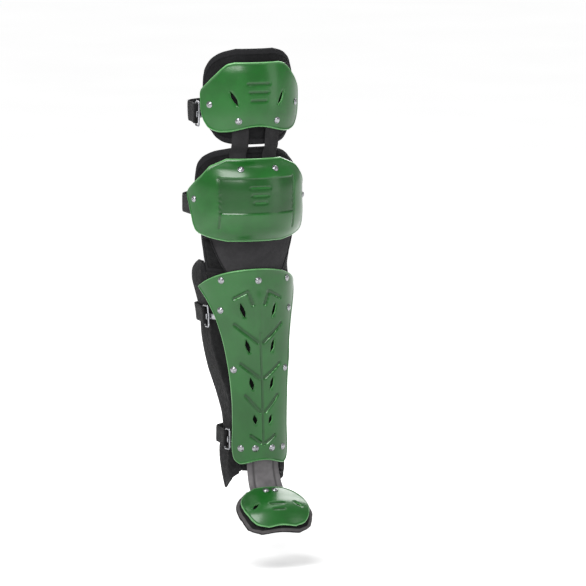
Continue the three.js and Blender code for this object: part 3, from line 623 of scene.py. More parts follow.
def webbing(name, dark, light, rib_pitch):
    """Woven tape: ribs across the length, with fine threads in them."""
    finish = Finish(name, Sheen_Weight=0.03, Sheen_Roughness=0.4, Specular_IOR_Level=0.2)
    cloth = finish.node("ShaderNodeSeparateXYZ", {"Vector": finish.attribute("weave", "Vector")})
    ribs = finish.math("SINE", finish.math("MULTIPLY", cloth.outputs["X"], 2 * math.pi / rib_pitch))
    threads = finish.threads(0.6 * rib_pitch)
    tone = finish.mottle(60.0, 4.0, 0.3, 0.7)
    body = finish.blend(tone, rgb(dark), rgb(light))
    shade = finish.span(ribs, -1.0, 0.2, 0.45, 0.0)
    finish.colour(finish.blend(shade, body, rgb("070708")))
    finish.roughness(finish.mottle(240.0, 3.0, 0.3, 0.7, 0.62, 0.78))
    height = finish.math("ADD", ribs, finish.math("MULTIPLY", threads, 0.6))
    finish.normal(finish.bump(height, 0.35 * MM, 0.7))
    return finish.material


def brushed_steel():
    finish = Finish("bright_steel", Metallic=1.0)
    tone = finish.mottle(300.0, 4.0, 0.35, 0.7)
    finish.colour(finish.blend(tone, rgb("a6a7ab"), rgb("848589")))
    finish.roughness(finish.mottle(500.0, 4.0, 0.35, 0.75, 0.2, 0.32))
    return finish.material


def foam_edge():
    """Laminated foam: grey and grained on its edge, black cloth on its faces."""
    finish = Finish("foam_edge", Specular_IOR_Level=0.25)
    cells = finish.node("ShaderNodeTexVoronoi", {"Scale": 900.0, "Vector": finish.place()})
    rim = finish.attribute("edge", "Fac")
    foam = finish.blend(finish.noise(160.0, 5.0), rgb("3d3b3c"), rgb("545152"))
    outer = finish.span(rim, 1.2 * MM, 1.9 * MM, 1.0, 0.0)
    inner = finish.span(rim, 6.6 * MM, 7.4 * MM)
    finish.colour(finish.blend(finish.math("MAXIMUM", outer, inner), foam, rgb("0f0f10")))
    finish.roughness(finish.mottle(200.0, 4.0, 0.3, 0.7, 0.75, 0.9))
    finish.normal(finish.bump(cells.outputs["Distance"], 0.3 * MM, 0.5))
    return finish.material


def moulded_grey():
    """The instep strap: grained rubber with a dull shine."""
    finish = Finish("moulded_grey", Specular_IOR_Level=0.45)
    tone = finish.mottle(50.0, 4.0, 0.3, 0.7)
    rubber = finish.blend(tone, rgb("4c494b"), rgb("5f5c5e"))
    # Painted shade: the grooves are painted nearly black
    painted_hollow_shade = finish.math("MULTIPLY", finish.attribute("hollow", "Fac"), 0.8)
    finish.colour(finish.blend(painted_hollow_shade, rubber, rgb("1c1a1b")))
    finish.roughness(finish.mottle(160.0, 5.0, 0.3, 0.7, 0.42, 0.6))
    finish.normal(finish.bump(finish.noise(900.0, 3.0), 0.15 * MM, 0.5))
    return finish.material


GREEN = moulded_green()
# The last colour is the binding tape's, painted lighter as its sheen
NYLON = woven("black_nylon", "070708", "121214", 1.1 * MM, 0.35 * MM, 0.7, 0.05, "1a1a1c")
BINDING = webbing("black_binding", "101012", "1c1c1e", 1.2 * MM)
GREY_CLOTH = woven("grey_cloth", "2b2a2c", "353436", 1.4 * MM, 0.45 * MM, 0.75, 0.1)
CHARCOAL = webbing("charcoal_webbing", "1e1d1f", "282729", 1.5 * MM)
BLACK_WEBBING = webbing("black_webbing", "080809", "121214", 1.6 * MM)
GREY_RUBBER = moulded_grey()
STEEL = brushed_steel()
FOAM = foam_edge()


# Meshes


def outward(points, faces):
    """The faces, turned so that the closed mesh has a positive volume."""
    triangles = faces[:, :3]
    corners = points[triangles]
    others = points[faces[:, [0, 2, 3]]] if faces.shape[1] == 4 else corners[:0]
    both = np.concatenate([corners, others])
    volume = np.einsum("ij,ij->i", both[:, 0], np.cross(both[:, 1], both[:, 2])).sum()
    return faces[:, ::-1] if volume < 0 else faces


def add_piece(name, points, faces, material, slot, nodes=(), weave=None, **marks):
    """A smooth mesh that rides on the guard, with its cloth coordinates and other marks."""
    mesh = bpy.data.meshes.new(name)
    corners = [list(dict.fromkeys(face)) for face in faces.tolist()]
    mesh.from_pydata(points.tolist(), [], corners)
    mesh.polygons.foreach_set("use_smooth", np.ones(len(mesh.polygons), bool))
    if weave is not None:
        mesh.attributes.new("weave", "FLOAT_VECTOR", "POINT").data.foreach_set(
            "vector", weave.astype(np.float32).ravel()
        )
    for mark, values in marks.items():
        mesh.attributes.new(mark, "FLOAT", "POINT").data.foreach_set(
            "value", values.astype(np.float32).ravel()
        )
    mesh.materials.append(material)
    piece = bpy.data.objects.new(name, mesh)
    bpy.context.scene.collection.objects.link(piece)
    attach(piece, "root")
    if nodes:
        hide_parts(*nodes)
    return piece


def grid_faces(rows, columns):
    """Quads of a grid of points that lie row by row."""
    at = np.arange(rows * columns).reshape(rows, columns)
    return np.stack([at[:-1, :-1], at[:-1, 1:], at[1:, 1:], at[1:, :-1]], -1).reshape(-1, 4)


def rim_of(rows, columns):
    """The indices of a grid's border, in order round it."""
    at = np.arange(rows * columns).reshape(rows, columns)
    return np.concatenate([at[0, :-1], at[:-1, -1], at[-1, :0:-1], at[:0:-1, 0]])


def wall_mesh(layers):
    """Points and quads of a curved wall between its two grids of points."""
    rows, columns = layers[0].shape[:2]
    points = np.concatenate([layer.reshape(-1, 3) for layer in layers])
    front = grid_faces(rows, columns)
    rim = rim_of(rows, columns)
    after = np.roll(rim, -1)
    size = rows * columns
    side = np.stack([rim, rim + size, after + size, after], -1)
    faces = np.concatenate([front, front[:, ::-1] + size, side])
    return points, outward(points, faces)


def line_distance(points, line, is_closed=True):
    """Distance of each (n, 2) point from a line of (m, 2) points."""
    ends = np.roll(line, -1, 0) if is_closed else line[1:]
    best = np.full(len(points), np.inf)
    for start, end in zip(line, ends):
        step = end - start
        length = step @ step
        if length == 0:
            continue
        share = np.clip(((points - start) @ step) / length, 0, 1)
        best = np.minimum(best, np.hypot(*(points - start - share[:, None] * step).T))
    return best


def sheet_piece(name, node, point_at, flat, offsets, material, slot, cloth=None, **marks):
    """A wall between two offsets of a surface; each mark is given for both of its faces."""
    points, faces = wall_mesh([point_at(flat[..., 0], flat[..., 1], offset) for offset in offsets])
    if cloth is not None:
        cloth = np.tile(np.dstack([cloth, 0 * cloth[..., :1]]).reshape(-1, 3), (2, 1))
    both = {mark: np.concatenate([part.ravel() for part in parts]) for mark, parts in marks.items()}
    return add_piece(name, points, faces, material, slot, [node], cloth, **both)


def dense(count, grip=0.4):
    """Places from -1 to 1 that crowd towards both ends."""
    s = np.linspace(-1, 1, count)
    return s * (1 + grip) - grip * s**3


def sheet_grid(columns, rows, place, grip=0.4):
    """A grid over a flat outline: its flat coordinates and each point's distance to the rim."""
    u, v = np.meshgrid(dense(columns, grip), (dense(rows, grip) + 1) / 2)
    a, b = place(u, v)
    flat = np.stack([a, b], -1)
    border = flat.reshape(-1, 2)[rim_of(rows, columns)]
    distance = line_distance(flat.reshape(-1, 2), border).reshape(rows, columns)
    return flat, distance, border


def round_drop(distance, radius):
    """How far a rounded edge falls below its surface at a distance from the rim."""
    reach = np.clip(1 - distance / radius, 0, 1)
    return radius * (1 - np.sqrt(1 - reach**2))


def channel(flat, start, end, width=GROOVE_WIDTH, depth=GROOVE_DEPTH, wall=GROOVE_WALL):
    """A pressed channel with round ends, as a depth below the surface."""
    line = np.array([start, end])
    distance = line_distance(flat.reshape(-1, 2), line, False).reshape(flat.shape[:2])
    return -depth * smooth(distance, width / 2 + wall / 2, width / 2 - wall / 2)


def frame_at(point_at, a, b):
    """Origin, across, up and normal directions of a surface at a place."""
    step = 0.5 * MM
    across = point_at(a + step, b) - point_at(a - step, b)
    along = point_at(a, b + step) - point_at(a, b - step)
    normal = np.cross(across, along)
    normal /= np.linalg.norm(normal)
    across /= np.linalg.norm(across)
    return point_at(a, b), across, np.cross(normal, across), normal


def vent_places(vents, half_arc, level_at):
    """Each vent's place, length and lean, on both sides."""
    return [
        (side * arc * half_arc, level_at(at), length * VENT_LENGTH, -side * math.radians(lean))
        for arc, at, length, lean in vents
        for side in (-1, 1)
    ]


def vent_dimples(flat, places):
    """The soft hollow that each vent lies in."""
    total = 0.0
    for a, b, length, lean in places:
        reach = 0.33 * length * np.array([-math.sin(lean), math.cos(lean)])
        centre = np.array([a, b])
        total = total + channel(flat, centre - reach, centre + reach, 6.4 * MM, 1.1 * MM, 3.4 * MM)
    return total


def cut_vents(piece, point_at, places):
    """Cuts the lozenge vents through a plate."""
    x = VENT_WIDTH * np.array([0, 1 / 2, 1 / 2.6, 0, -1 / 2, -1 / 2.6])
    heights = np.array([-1 / 2, -1 / 8, 1 / 6, 1 / 2, 1 / 8, -1 / 6])
    points = []
    faces = []
    for a, b, length, lean in places:
        origin, across, up, normal = frame_at(point_at, a, b)
        y = heights * length
        turned_x = x * math.cos(lean) - y * math.sin(lean)
        turned_y = x * math.sin(lean) + y * math.cos(lean)
        ring = origin + turned_x[:, None] * across + turned_y[:, None] * up
        start = len(points)
        depth = 3 * PLATE_WALL * normal
        points.extend(ring - depth)
        points.extend(ring + depth)
        count = len(ring)
        faces.append([start + k for k in reversed(range(count))])
        faces.append([start + count + k for k in range(count)])
        for k in range(count):
            after = (k + 1) % count
            faces.append([start + k, start + after, start + count + after, start + count + k])
    mesh = bpy.data.meshes.new("vent_cutter")
    mesh.from_pydata([tuple(p) for p in points], [], faces)
    cutter = bpy.data.objects.new("vent_cutter", mesh)
    bpy.context.scene.collection.objects.link(cutter)
    cut = piece.modifiers.new("vents", "BOOLEAN")
    cut.operation = "DIFFERENCE"
    cut.solver = "MANIFOLD"
    cut.object = cutter
    settle(piece)
    bpy.data.objects.remove(cutter)
    bpy.data.meshes.remove(mesh)


def settle(piece):
    """Applies a piece's modifiers to its mesh."""
    graph = bpy.context.evaluated_depsgraph_get()
    settled = bpy.data.meshes.new_from_object(piece.evaluated_get(graph))
    old = piece.data
    piece.modifiers.clear()
    piece.data = settled
    bpy.data.meshes.remove(old)


# Moulded plates


def plate(name, node, columns, rows, place, point_at, relief_at, vents=()):
    """A moulded plate: a raised rolled lip round its outline, its relief, and cut vents.

    The lip is painted pale, partly as wear and partly as a painted highlight on its rolled edge.
    The walls of the mouldings that face up and to the left get the same pale colour as a painted
    highlight, and the hollows are painted darker as painted shade.
    """
    flat, distance, _ = sheet_grid(columns, rows, place)
    lip = LIP_RISE * np.exp(-(((distance - 0.6 * LIP_WIDTH) / (0.5 * LIP_WIDTH)) ** 2))
    relief = relief_at(flat)
    face = lip - round_drop(distance, EDGE_ROUND) + relief + vent_dimples(flat, vents)
    back = -PLATE_WALL + round_drop(distance, EDGE_ROUND)
    rise_across = np.gradient(relief, axis=1) / np.gradient(flat[..., 0], axis=1)
    rise_up = np.gradient(relief, axis=0) / np.gradient(flat[..., 1], axis=0)
    # Painted highlight: walls facing up and left, toward the key light, are marked pale
    painted_wall_highlight = smooth(np.maximum(0.4 * rise_across, -rise_up), 0.35, 0.8)
    # Depth of the pressed hollows, which the material paints darker as painted shade
    hollow = smooth(-relief, 0.3 * MM, 1.2 * MM)
    # The edge mark is shrunk on those walls, so the material paints them the pale lip colour as a
    # painted highlight
    piece = sheet_piece(
        name, node, point_at, flat, (face, back), GREEN, "green_plastic",
        edge=(distance * (1 - painted_wall_highlight), distance), hollow=(hollow, 0 * hollow),
    )
    if vents:
        cut_vents(piece, point_at, vents)


def bars(flat, rows, level_at):
    """Plain level bars pressed in along the middle of a plate."""
    levels = [(half, level_at(at)) for at, half in rows]
    return sum(
        channel(flat, (-half, level), (half, level), BAR_WIDTH, BAR_DEPTH, BAR_WALL)
        for half, level in levels
    )


def thigh_place(u, v):
    half = curve(THIGH_OUTLINE, "half")(v)
    notch = THIGH_NOTCH * (1 - u * u) ** 3 * (1 - v) ** 3
    return u * THIGH_HALF_ARC * half, thigh_level(v) + notch


def thigh_relief(flat):
    return bars(flat, THIGH_BARS, thigh_level)


def knee_place(u, v):
    return u * KNEE_HALF_ARC * curve(KNEE_OUTLINE, "half")(v), knee_level(v)


def knee_relief(flat):
    """The pressed front panel with its bars, and a crease down each side of it."""
    arc = KNEE_PANEL_ARC * KNEE_HALF_ARC
    x, z = flat[..., 0], flat[..., 1]
    inside = np.minimum(arc - np.abs(x), z - knee_level(KNEE_PANEL_BOTTOM))
    inside = np.minimum(inside, knee_level(KNEE_PANEL_TOP) - z)
    panel = -CREASE_DEPTH * smooth(inside, -CREASE_WALL / 2, CREASE_WALL / 2)
    creases = 0.0
    for _, side in SIDES:
        start = (side * arc, knee_level(KNEE_CREASE_BOTTOM))
        end = (side * 1.02 * arc, knee_level(KNEE_PANEL_TOP))
        creases = creases + channel(flat, start, end, CREASE_WIDTH, CREASE_DEPTH, CREASE_WALL)
    return panel + creases + bars(flat, KNEE_BARS, knee_level)


def shin_place(u, v):
    half = curve(SHIN_OUTLINE, "half")(v)
    top = SHIN_TOP - FLARE_DROP * np.abs(u) ** 2.1
    bottom = SHIN_BOTTOM + SHIN_NOTCH * (1 - u * u) ** 2
    return u * SHIN_HALF_ARC * half, mix(top, bottom, v)


def shin_relief(flat):
    """Chevron channels on both sides of a spine, under a soft centre ridge."""
    channels = [
        channel(
            flat,
            (side * outer * SHIN_HALF_ARC, shin_level(outer_at)),
            (side * inner * SHIN_HALF_ARC, shin_level(inner_at)),
        )
        for outer, outer_at, inner, inner_at in SHIN_CHANNELS
        for _, side in SIDES
    ]
    start = (0, shin_level(SPINE_TOP))
    end = (0, shin_level(SPINE_BOTTOM))
    spine = channel(flat, start, end, SPINE_WIDTH, SPINE_DEPTH, SPINE_WALL)
    share = shin_share(flat[..., 1])
    ridge = RIDGE_RISE * np.exp(-((flat[..., 0] / RIDGE_WIDTH) ** 2))
    ridge = ridge * smooth(share, 0.1, 0.16) * smooth(share, 0.42, 0.34)
    return ridge + np.minimum.reduce([spine, *channels])


def toe_place(u, v):
    notch = TOE_NOTCH * (1 - u * u) ** 2 * v * v
    return u * TOE_HALF_WIDTH * toe_half(v), toe_level(v - notch)


def toe_relief(flat):
    return bars(flat, TOE_BARS, toe_level)


def rivets(part, rows, half_arc, point_at, level_at):
    """Domed tubular rivets, in pairs where they lie off the middle."""
    profile = np.array(
        [[0, 0.88], [0.12, 0.9], [0.2, 0.99], [0.28, 1], [0.42, 0.96], [0.56, 0.86], [0.68, 0.7],
         [0.76, 0.5], [0.8, 0.3], [0.86, 0.24], [0.96, 0.2], [1, 0.1], [1, 0]]
    )
    turns = np.linspace(0, 2 * np.pi, 33)[:-1]
    for index, (arc, at) in enumerate(rows):
        for hand, side in [("middle", 0)] if arc == 0 else SIDES:
            origin, across, up, normal = frame_at(point_at, side * arc * half_arc, level_at(at))
            seat = origin + SEAT_GAP * normal
            rings = [
                seat
                + RIVET_RADIUS * r * (np.cos(turns)[:, None] * across + np.sin(turns)[:, None] * up)
                + RIVET_HEIGHT * h * normal
                for r, h in profile[1:]
            ]
            points, faces = capped_loft(np.array(rings))
            node = f"{part}_rivet_{index + 1}_{hand}"
            name = f"rivet_{part}_{index + 1}_{hand}"
            add_piece(name, points, faces, STEEL, "bright_steel", [node])


def capped_loft(rings, is_loop=False):
    """Points and quads through rings of points, closed into a loop or capped at both ends."""
    count, size = rings.shape[:2]
    points = rings.reshape(-1, 3)
    at = np.arange(count * size).reshape(count, size)
    after = np.roll(at, -1, 1)
    if is_loop:
        following = np.roll(at, -1, 0)
        following_after = np.roll(after, -1, 0)
        quads = np.stack([at, after, following_after, following], -1).reshape(-1, 4)
        return points, outward(points, quads)
    quads = np.stack([at[:-1], after[:-1], after[1:], at[1:]], -1).reshape(-1, 4)
    middles = np.array([rings[0].mean(0), rings[-1].mean(0)])
    points = np.concatenate([points, middles])
    first = count * size
    cap = np.stack([at[0], np.full(size, first), np.full(size, first), after[0]], -1)
    end = np.stack([after[-1], np.full(size, first + 1), np.full(size, first + 1), at[-1]], -1)
    faces = np.concatenate([quads, cap, end])
    return points, outward(points, faces)


# Soft pieces


def tube(name, path, radius, material, slot, nodes=(), is_loop=True, sides=12):
    """A round cord or wire along a path of points."""
    ahead = np.roll(path, -1, 0) - np.roll(path, 1, 0)
    if not is_loop:
        ahead[0] = path[1] - path[0]
        ahead[-1] = path[-1] - path[-2]
    along = ahead / np.linalg.norm(ahead, axis=1)[:, None]
    side = np.empty_like(along)
    guide = np.cross(along[0], [0.3, 0.9, 0.3])
    for index, direction in enumerate(along):
        guide = guide - (guide @ direction) * direction
        guide /= np.linalg.norm(guide)
        side[index] = guide
    up = np.cross(along, side)
    turns = np.linspace(0, 2 * np.pi, sides + 1)[:-1]
    rings = (
        path[:, None]
        + radius * np.cos(turns)[None, :, None] * side[:, None]
        + radius * np.sin(turns)[None, :, None] * up[:, None]
    )
    points, faces = capped_loft(rings, is_loop)
    lengths = np.cumsum(np.linalg.norm(np.diff(path, axis=0, append=path[-1:]), axis=1))
    weave = np.zeros((len(points), 3))
    weave[: rings.shape[0] * sides, 0] = np.repeat(lengths, sides)
    weave[: rings.shape[0] * sides, 1] = np.tile(turns * radius, rings.shape[0])
    return add_piece(name, points, faces, material, slot, nodes, weave=weave)


def pad(name, node, columns, rows, place, point_at, face_at, wall, has_binding=True, reach=0):
    """A padded liner: crowned, thinner at its rim, with a binding tape sewn round it."""
    flat, distance, border = sheet_grid(columns, rows, place)
    rim_wall = 0.5 * wall
    thin = (wall - rim_wall) * (1 - smooth(distance, 0, reach or 1.6 * wall))
    tape = 0.0
    if has_binding:
        seam_at = BINDING_WIDTH + 0.8 * MM
        tape = BINDING_RISE * smooth(distance, seam_at, BINDING_WIDTH - 0.4 * MM)
        tape = tape - 0.8 * MM * np.exp(-(((distance - seam_at) / (1.2 * MM)) ** 2))
    fold = round_drop(distance, 0.5 * rim_wall)
    puckers = wrinkles(flat, distance)
    surface = face_at(flat[..., 0], flat[..., 1])
    outer = surface - 0.35 * thin - fold + tape - BINDING_RISE + np.minimum(puckers, 0)
    inner = surface - wall + 0.65 * thin + fold - tape + BINDING_RISE - puckers
    piece = sheet_piece(
        name, node, point_at, flat, (outer, inner), NYLON, "black_padding", flat,
        edge=(distance, distance),
    )
    return border


def wrinkles(flat, distance):
    """Soft puckers of the cover, a few tenths of a millimetre, stronger near the rim."""
    a, b = flat[..., 0], flat[..., 1]
    waves = (
        np.sin(a * 310 + 1.7 * np.sin(b * 95))
        + np.sin(b * 265 + 1.3 * np.sin(a * 120) + 2.1)
        + 0.7 * np.sin((a + b) * 180 + 0.6)
    )
    return 0.22 * MM * waves * (0.35 + 0.65 * np.exp(-distance / (14 * MM)))


def thigh_pad_place(u, v):
    half = curve(THIGH_PAD_OUTLINE, "half")(v)
    return u * THIGH_HALF_ARC * half, mix(THIGH_PAD_BOTTOM, THIGH_TOP + PAD_RISE, v)


def knee_pad_place(u, v):
    half = curve(KNEE_PAD_OUTLINE, "half")(v)
    return u * KNEE_HALF_ARC * half, mix(KNEE_PAD_BOTTOM, KNEE_PAD_TOP, v)


def knee_pad_face(arc, z):
    """The knee pad lies back from the plate's dome in the middle."""
    share = (z - KNEE_BOTTOM) / KNEE_HEIGHT
    across = 1 - np.minimum(1, (arc / (0.85 * KNEE_HALF_ARC)) ** 2)
    upright = 1 - np.minimum(1, (2 * share - 1.02) ** 2)
    return PAD_FACE - KNEE_HOLLOW * across**1.5 * upright


def pad_face(arc, z):
    return PAD_FACE + 0 * arc


def bridge_place(u, v):
    z = mix(KNEE_PAD_BOTTOM - SEAT_GAP, BRIDGE_BOTTOM, v)
    return u * SHIN_HALF_ARC * liner_edge(shin_share(z)), z


def bridge_panel_place(u, v):
    z = mix(KNEE_BOTTOM + 0.07 * KNEE_HEIGHT, BRIDGE_BOTTOM + SEAT_GAP, v)
    return u * SHIN_HALF_ARC * mix(0.76, 0.44, v**1.3), z


def shin_pad_place(u, v):
    z = mix(shin_level(0.035), SHIN_PAD_BOTTOM, v)
    return u * SHIN_HALF_ARC * liner_edge(shin_share(z)), z


def wing_span(z):
    """The arcs of a wing's front and back edges at a level."""
    front = SHIN_HALF_ARC * liner_edge(shin_share(z)) + LAYER_GAP
    back = arc_at_depth(shin_zone, np.asarray(z), WING_DEPTH * wing_back(shin_share(z)))
    return front, back


def wing_place(side, level_at):
    """A wing from the liner's edge to its own back edge."""

    def place(u, v):
        share = (u + 1) / 2
        z = level_at(share, v)
        return side * mix(*wing_span(z), share), z

    return place


def calf_level(share, v):
    return shin_level(mix(-0.02, 0.863, v))


def ankle_level(share, v):
    return mix(WING_SEAM - SEAT_GAP, SHIN_PAD_BOTTOM - 1.6 * PAD_RISE * share, v)


def wing(name, node, side, level_at, columns, rows):
    """A padded wing with a piped edge on its free sides."""
    place = wing_place(side, level_at)
    border = pad(name, node, columns, rows, place, on_shin, pad_face, WING_WALL, False, 12 * MM)
    path = on_shin(border[:, 0], border[:, 1], PAD_FACE - WING_WALL / 2)
    keep = np.abs(border[:, 0]) > SHIN_HALF_ARC * liner_edge(shin_share(border[:, 1])) + 6 * MM
    start = int(np.argmax(keep & ~np.roll(keep, 1)))
    order = np.roll(np.arange(len(path)), -start)
    run = order[keep[order]]
    tube(f"{name}_piping", path[run][::2], PIPING_RADIUS, BINDING, "black_padding", is_loop=False)


def seam(name, arcs, levels, offset, radius):
    """A sewn roll along the line where two liners meet."""
    path = on_shin(arcs, levels, offset)
    tube(name, path, radius, BINDING, "black_padding", is_loop=False)


def liner_seams():
    level = mix(BRIDGE_BOTTOM, shin_level(0.035), 0.5)
    half = SHIN_HALF_ARC * liner_edge(shin_share(level))
    arcs = np.linspace(-half, half, 60)
    seam("seam_top", arcs, level, PAD_FACE - SHIN_PAD_WALL / 2, TOP_SEAM_RADIUS)
    levels = np.linspace(shin_level(0.04), SHIN_PAD_BOTTOM + 2 * MM, 90)
    edges = SHIN_HALF_ARC * liner_edge(shin_share(levels)) + LAYER_GAP / 2
    across = mix(*wing_span(WING_SEAM), np.linspace(0, 0.96, 40))
    middle = PAD_FACE - WING_WALL / 2
    for hand, side in SIDES:
        seam(f"seam_side_{hand}", side * edges, levels, middle, SIDE_SEAM_RADIUS)
        seam(f"seam_wing_{hand}", side * across, WING_SEAM, middle, SIDE_SEAM_RADIUS)


def toe_pad_piece():
    """The foam under the toe plate, standing out round it."""

    def place(u, v):
        notch = TOE_NOTCH * (1 - u * u) ** 2 * v * v
        half = TOE_HALF_WIDTH * toe_half(v) + TOE_PAD_RIM + TOE_PAD_SPREAD
        return u * half, toe_level(mix(-0.05, 1.13, v) - notch)

    flat, distance, _ = sheet_grid(90, 70, place)
    fold = round_drop(distance, 2.6 * MM)
    piece = sheet_piece(
        "toe_foam", "toe_pad", toe_up, flat, (PAD_FACE - fold, PAD_FACE - TOE_PAD_WALL + fold),
        FOAM, "grey_foam", flat, edge=(distance, distance),
    )


def tape_wall(name, node, columns, rows, place, point_at, material, slot):
    """A flat piece of webbing or cloth with soft edges, in the layer behind the plates."""
    flat, distance, _ = sheet_grid(columns, rows, place)
    fold = round_drop(distance, 0.45 * WEBBING_WALL)
    return sheet_piece(
        name, node, point_at, flat, (WEBBING_FACE - fold, WEBBING_FACE - WEBBING_WALL + fold),
        material, slot, flat[..., ::-1], edge=(distance, distance),
    )


def bridge_cloth():
    """The grey panel between knee cap and shin plate, with a piped edge down each side."""
    panel = tape_wall(
        "bridge_cloth", "bridge_panel", 90, 40, bridge_panel_place, on_shin, GREY_CLOTH, "grey_cloth"
    )
    shares = np.linspace(0, 1, 40)
    for hand, side in SIDES:
        arcs, levels = bridge_panel_place(side + 0 * shares, shares)
        seam(f"panel_piping_{hand}", arcs, levels, WEBBING_FACE - 0.6 * MM, PANEL_PIPING_RADIUS)


def link_point(arc, z, offset):
    """From the thigh's surface down to the knee's."""
    drop = smooth(THIGH_PAD_BOTTOM - z, LAYER_GAP, THIGH_PAD_BOTTOM - KNEE_TOP)[..., None]
    return mix(on_thigh(arc, z, offset), on_knee(arc, z, offset), drop)


def link_tab(hand, side):
    top = THIGH_BOTTOM + 0.27 * THIGH_HEIGHT
    bottom = KNEE_TOP - 0.19 * KNEE_HEIGHT

    def place(u, v):
        return side * TAB_WIDTH + u * TAB_WIDTH / 2, mix(top, bottom, v)

    tape_wall(
        f"tab_{hand}", f"link_tab_{hand}", 15, 90, place, link_point, CHARCOAL, "charcoal_webbing"
    )


def instep_strap():
    """The strap from under the shin plate to the toe, with a groove along each side."""
    top = SHIN_BOTTOM + 0.09 * SHIN_LENGTH
    bottom = SHIN_BOTTOM - 1.7 * PAD_RISE

    def point_at(across, v, offset):
        upper = on_shin(across, mix(top, bottom, v), offset)
        lower = on_toe(across, mix(-0.2, 0.22, np.maximum(0, 2 * v - 1)), offset)
        return mix(upper, lower, smooth(v, 0.45, 0.72)[..., None])

    flat = np.dstack(np.meshgrid(dense(49) * INSTEP_WIDTH / 2, np.linspace(0, 1, 80)))
    side = np.abs(flat[..., 0])
    groove = np.exp(-(((side - 0.31 * INSTEP_WIDTH) / (1.8 * MM)) ** 2))
    fold = round_drop(INSTEP_WIDTH / 2 - side, 0.9 * MM)
    offsets = (WEBBING_FACE - fold - 1.2 * MM * groove, WEBBING_FACE - WEBBING_WALL + fold)
    # The groove mask goes in as the hollow mark, so the grooves are painted dark as painted shade
    sheet_piece(
        "instep_band", "instep_strap", point_at, flat, offsets, GREY_RUBBER, "grey_strap",
        flat * (1, top - bottom), hollow=(groove, 0 * groove),
    )


# Straps and their fastenings

STRAPS = {
    "thigh": {
        "zone": thigh_zone, "z": thigh_level(0.24), "width": 31 * MM,
        "hook": 1.04 * THIGH_HALF_ARC, "sewn": 0.9 * THIGH_HALF_ARC,
        "leaves": 0.68 * WING_DEPTH, "bulge": 2 * STRAP_DEPTH,
    },
    "calf": {
        "zone": shin_zone, "z": shin_level(0.25), "width": 27 * MM,
        "hook": 0.8 * SHIN_HALF_ARC, "sewn": 0.64 * SHIN_HALF_ARC,
        "leaves": 1.02 * WING_DEPTH, "bulge": 1.4 * STRAP_DEPTH,
    },
    "ankle": {
        "zone": shin_zone, "z": shin_level(0.875), "width": 25 * MM,
        "hook": 0.52 * SHIN_HALF_ARC, "sewn": 0.43 * SHIN_HALF_ARC,
        "leaves": 1.04 * WING_DEPTH, "bulge": 1.4 * STRAP_DEPTH,
    },
    "knee": {
        "zone": knee_zone, "z": knee_level(0.42), "width": 28 * MM,
        "sewn": 0.88 * KNEE_HALF_ARC,
        "leaves": 0.55 * WING_DEPTH, "bulge": 2.3 * STRAP_DEPTH,
    },
}


def side_stations(section_at, z, arcs, offsets, tilts=0.0):
    """Points on one side of the guard at given arcs and offsets, with their out directions."""
    arcs, offsets, tilts = matched(arcs, offsets, tilts)
    points = wrap(section_at, arcs, z, offsets)
    outs = (wrap(section_at, arcs, z, offsets + 1 * MM) - points) / MM
    turned = outs.copy()
    turned[:, 0] = outs[:, 0] * np.cos(tilts) - outs[:, 1] * np.sin(tilts)
    turned[:, 1] = outs[:, 0] * np.sin(tilts) + outs[:, 1] * np.cos(tilts)
    return points, turned


def bar_turn(bar_arc, radius, way, count=9):
    """Half a turn round a wire bar on the left side: arcs, offsets and tilts."""
    angle = np.linspace(0, np.pi, count)
    return (
        -(bar_arc + way * radius * np.sin(angle)),
        BAR_OFFSET - radius * np.cos(angle),
        way * angle,
    )


def back_path(strap, z):
    """Half an ellipse round the back of the leg, from the left side to the right."""
    s = strap["zone"](np.asarray(z))
    half = s["half"] + STRAP_LINE
    angle = np.linspace(0, np.pi, 33)
    points = np.stack(
        [
            s["axis"] - half * np.cos(angle),
            strap["leaves"] + strap["bulge"] * np.sin(angle),
            z + 0 * angle,
        ],
        -1,
    )
    outs = np.stack([-strap["bulge"] * np.cos(angle), half * np.sin(angle), 0 * angle], -1)
    return points, outs / np.linalg.norm(outs, axis=1)[:, None]


def joined(*paths):
    return np.concatenate([p for p, _ in paths]), np.concatenate([o for _, o in paths])


def sewn_side(strap, side, z):
    """Along one side from the sewn end to where the strap leaves it."""
    leaves = arc_at_depth(strap["zone"], np.asarray(z), strap["leaves"])
    arcs = side * np.linspace(strap["sewn"], leaves, 25)[:-1]
    return side_stations(strap["zone"], z, arcs, STRAP_LINE)


def reverse(path):
    return path[0][::-1], path[1][::-1]


def knee_path(strap, z):
    return joined(sewn_side(strap, -1, z), back_path(strap, z), reverse(sewn_side(strap, 1, z)))


def hooked_path(strap, z):
    """Folded back round the wire loop on the left, round the leg, and sewn on at the right."""
    bar = strap["hook"] + LOOP_LENGTH
    end = STRAP_LINE + WEBBING_WALL + SEAT_GAP
    arcs, offsets, tilts = bar_turn(bar, BAR_FOLD_RADIUS, -1)
    leaves = arc_at_depth(strap["zone"], np.asarray(z), strap["leaves"])
    fold_arcs = [-(bar + share * FOLD_LENGTH) for share in (1, 0.8, 0.6)] + [-(bar + 2 * WIRE_RADIUS)]
    fold_offsets = [end, end, end, BAR_OFFSET + BAR_FOLD_RADIUS]
    side_arcs = -np.linspace(bar, leaves, 25)[1:-1]
    return joined(
        side_stations(strap["zone"], z, fold_arcs, fold_offsets, np.pi),
        side_stations(strap["zone"], z, arcs[::-1], offsets[::-1], tilts[::-1]),
        side_stations(strap["zone"], z, side_arcs, STRAP_LINE),
        back_path(strap, z),
        reverse(sewn_side(strap, 1, z)),
    )


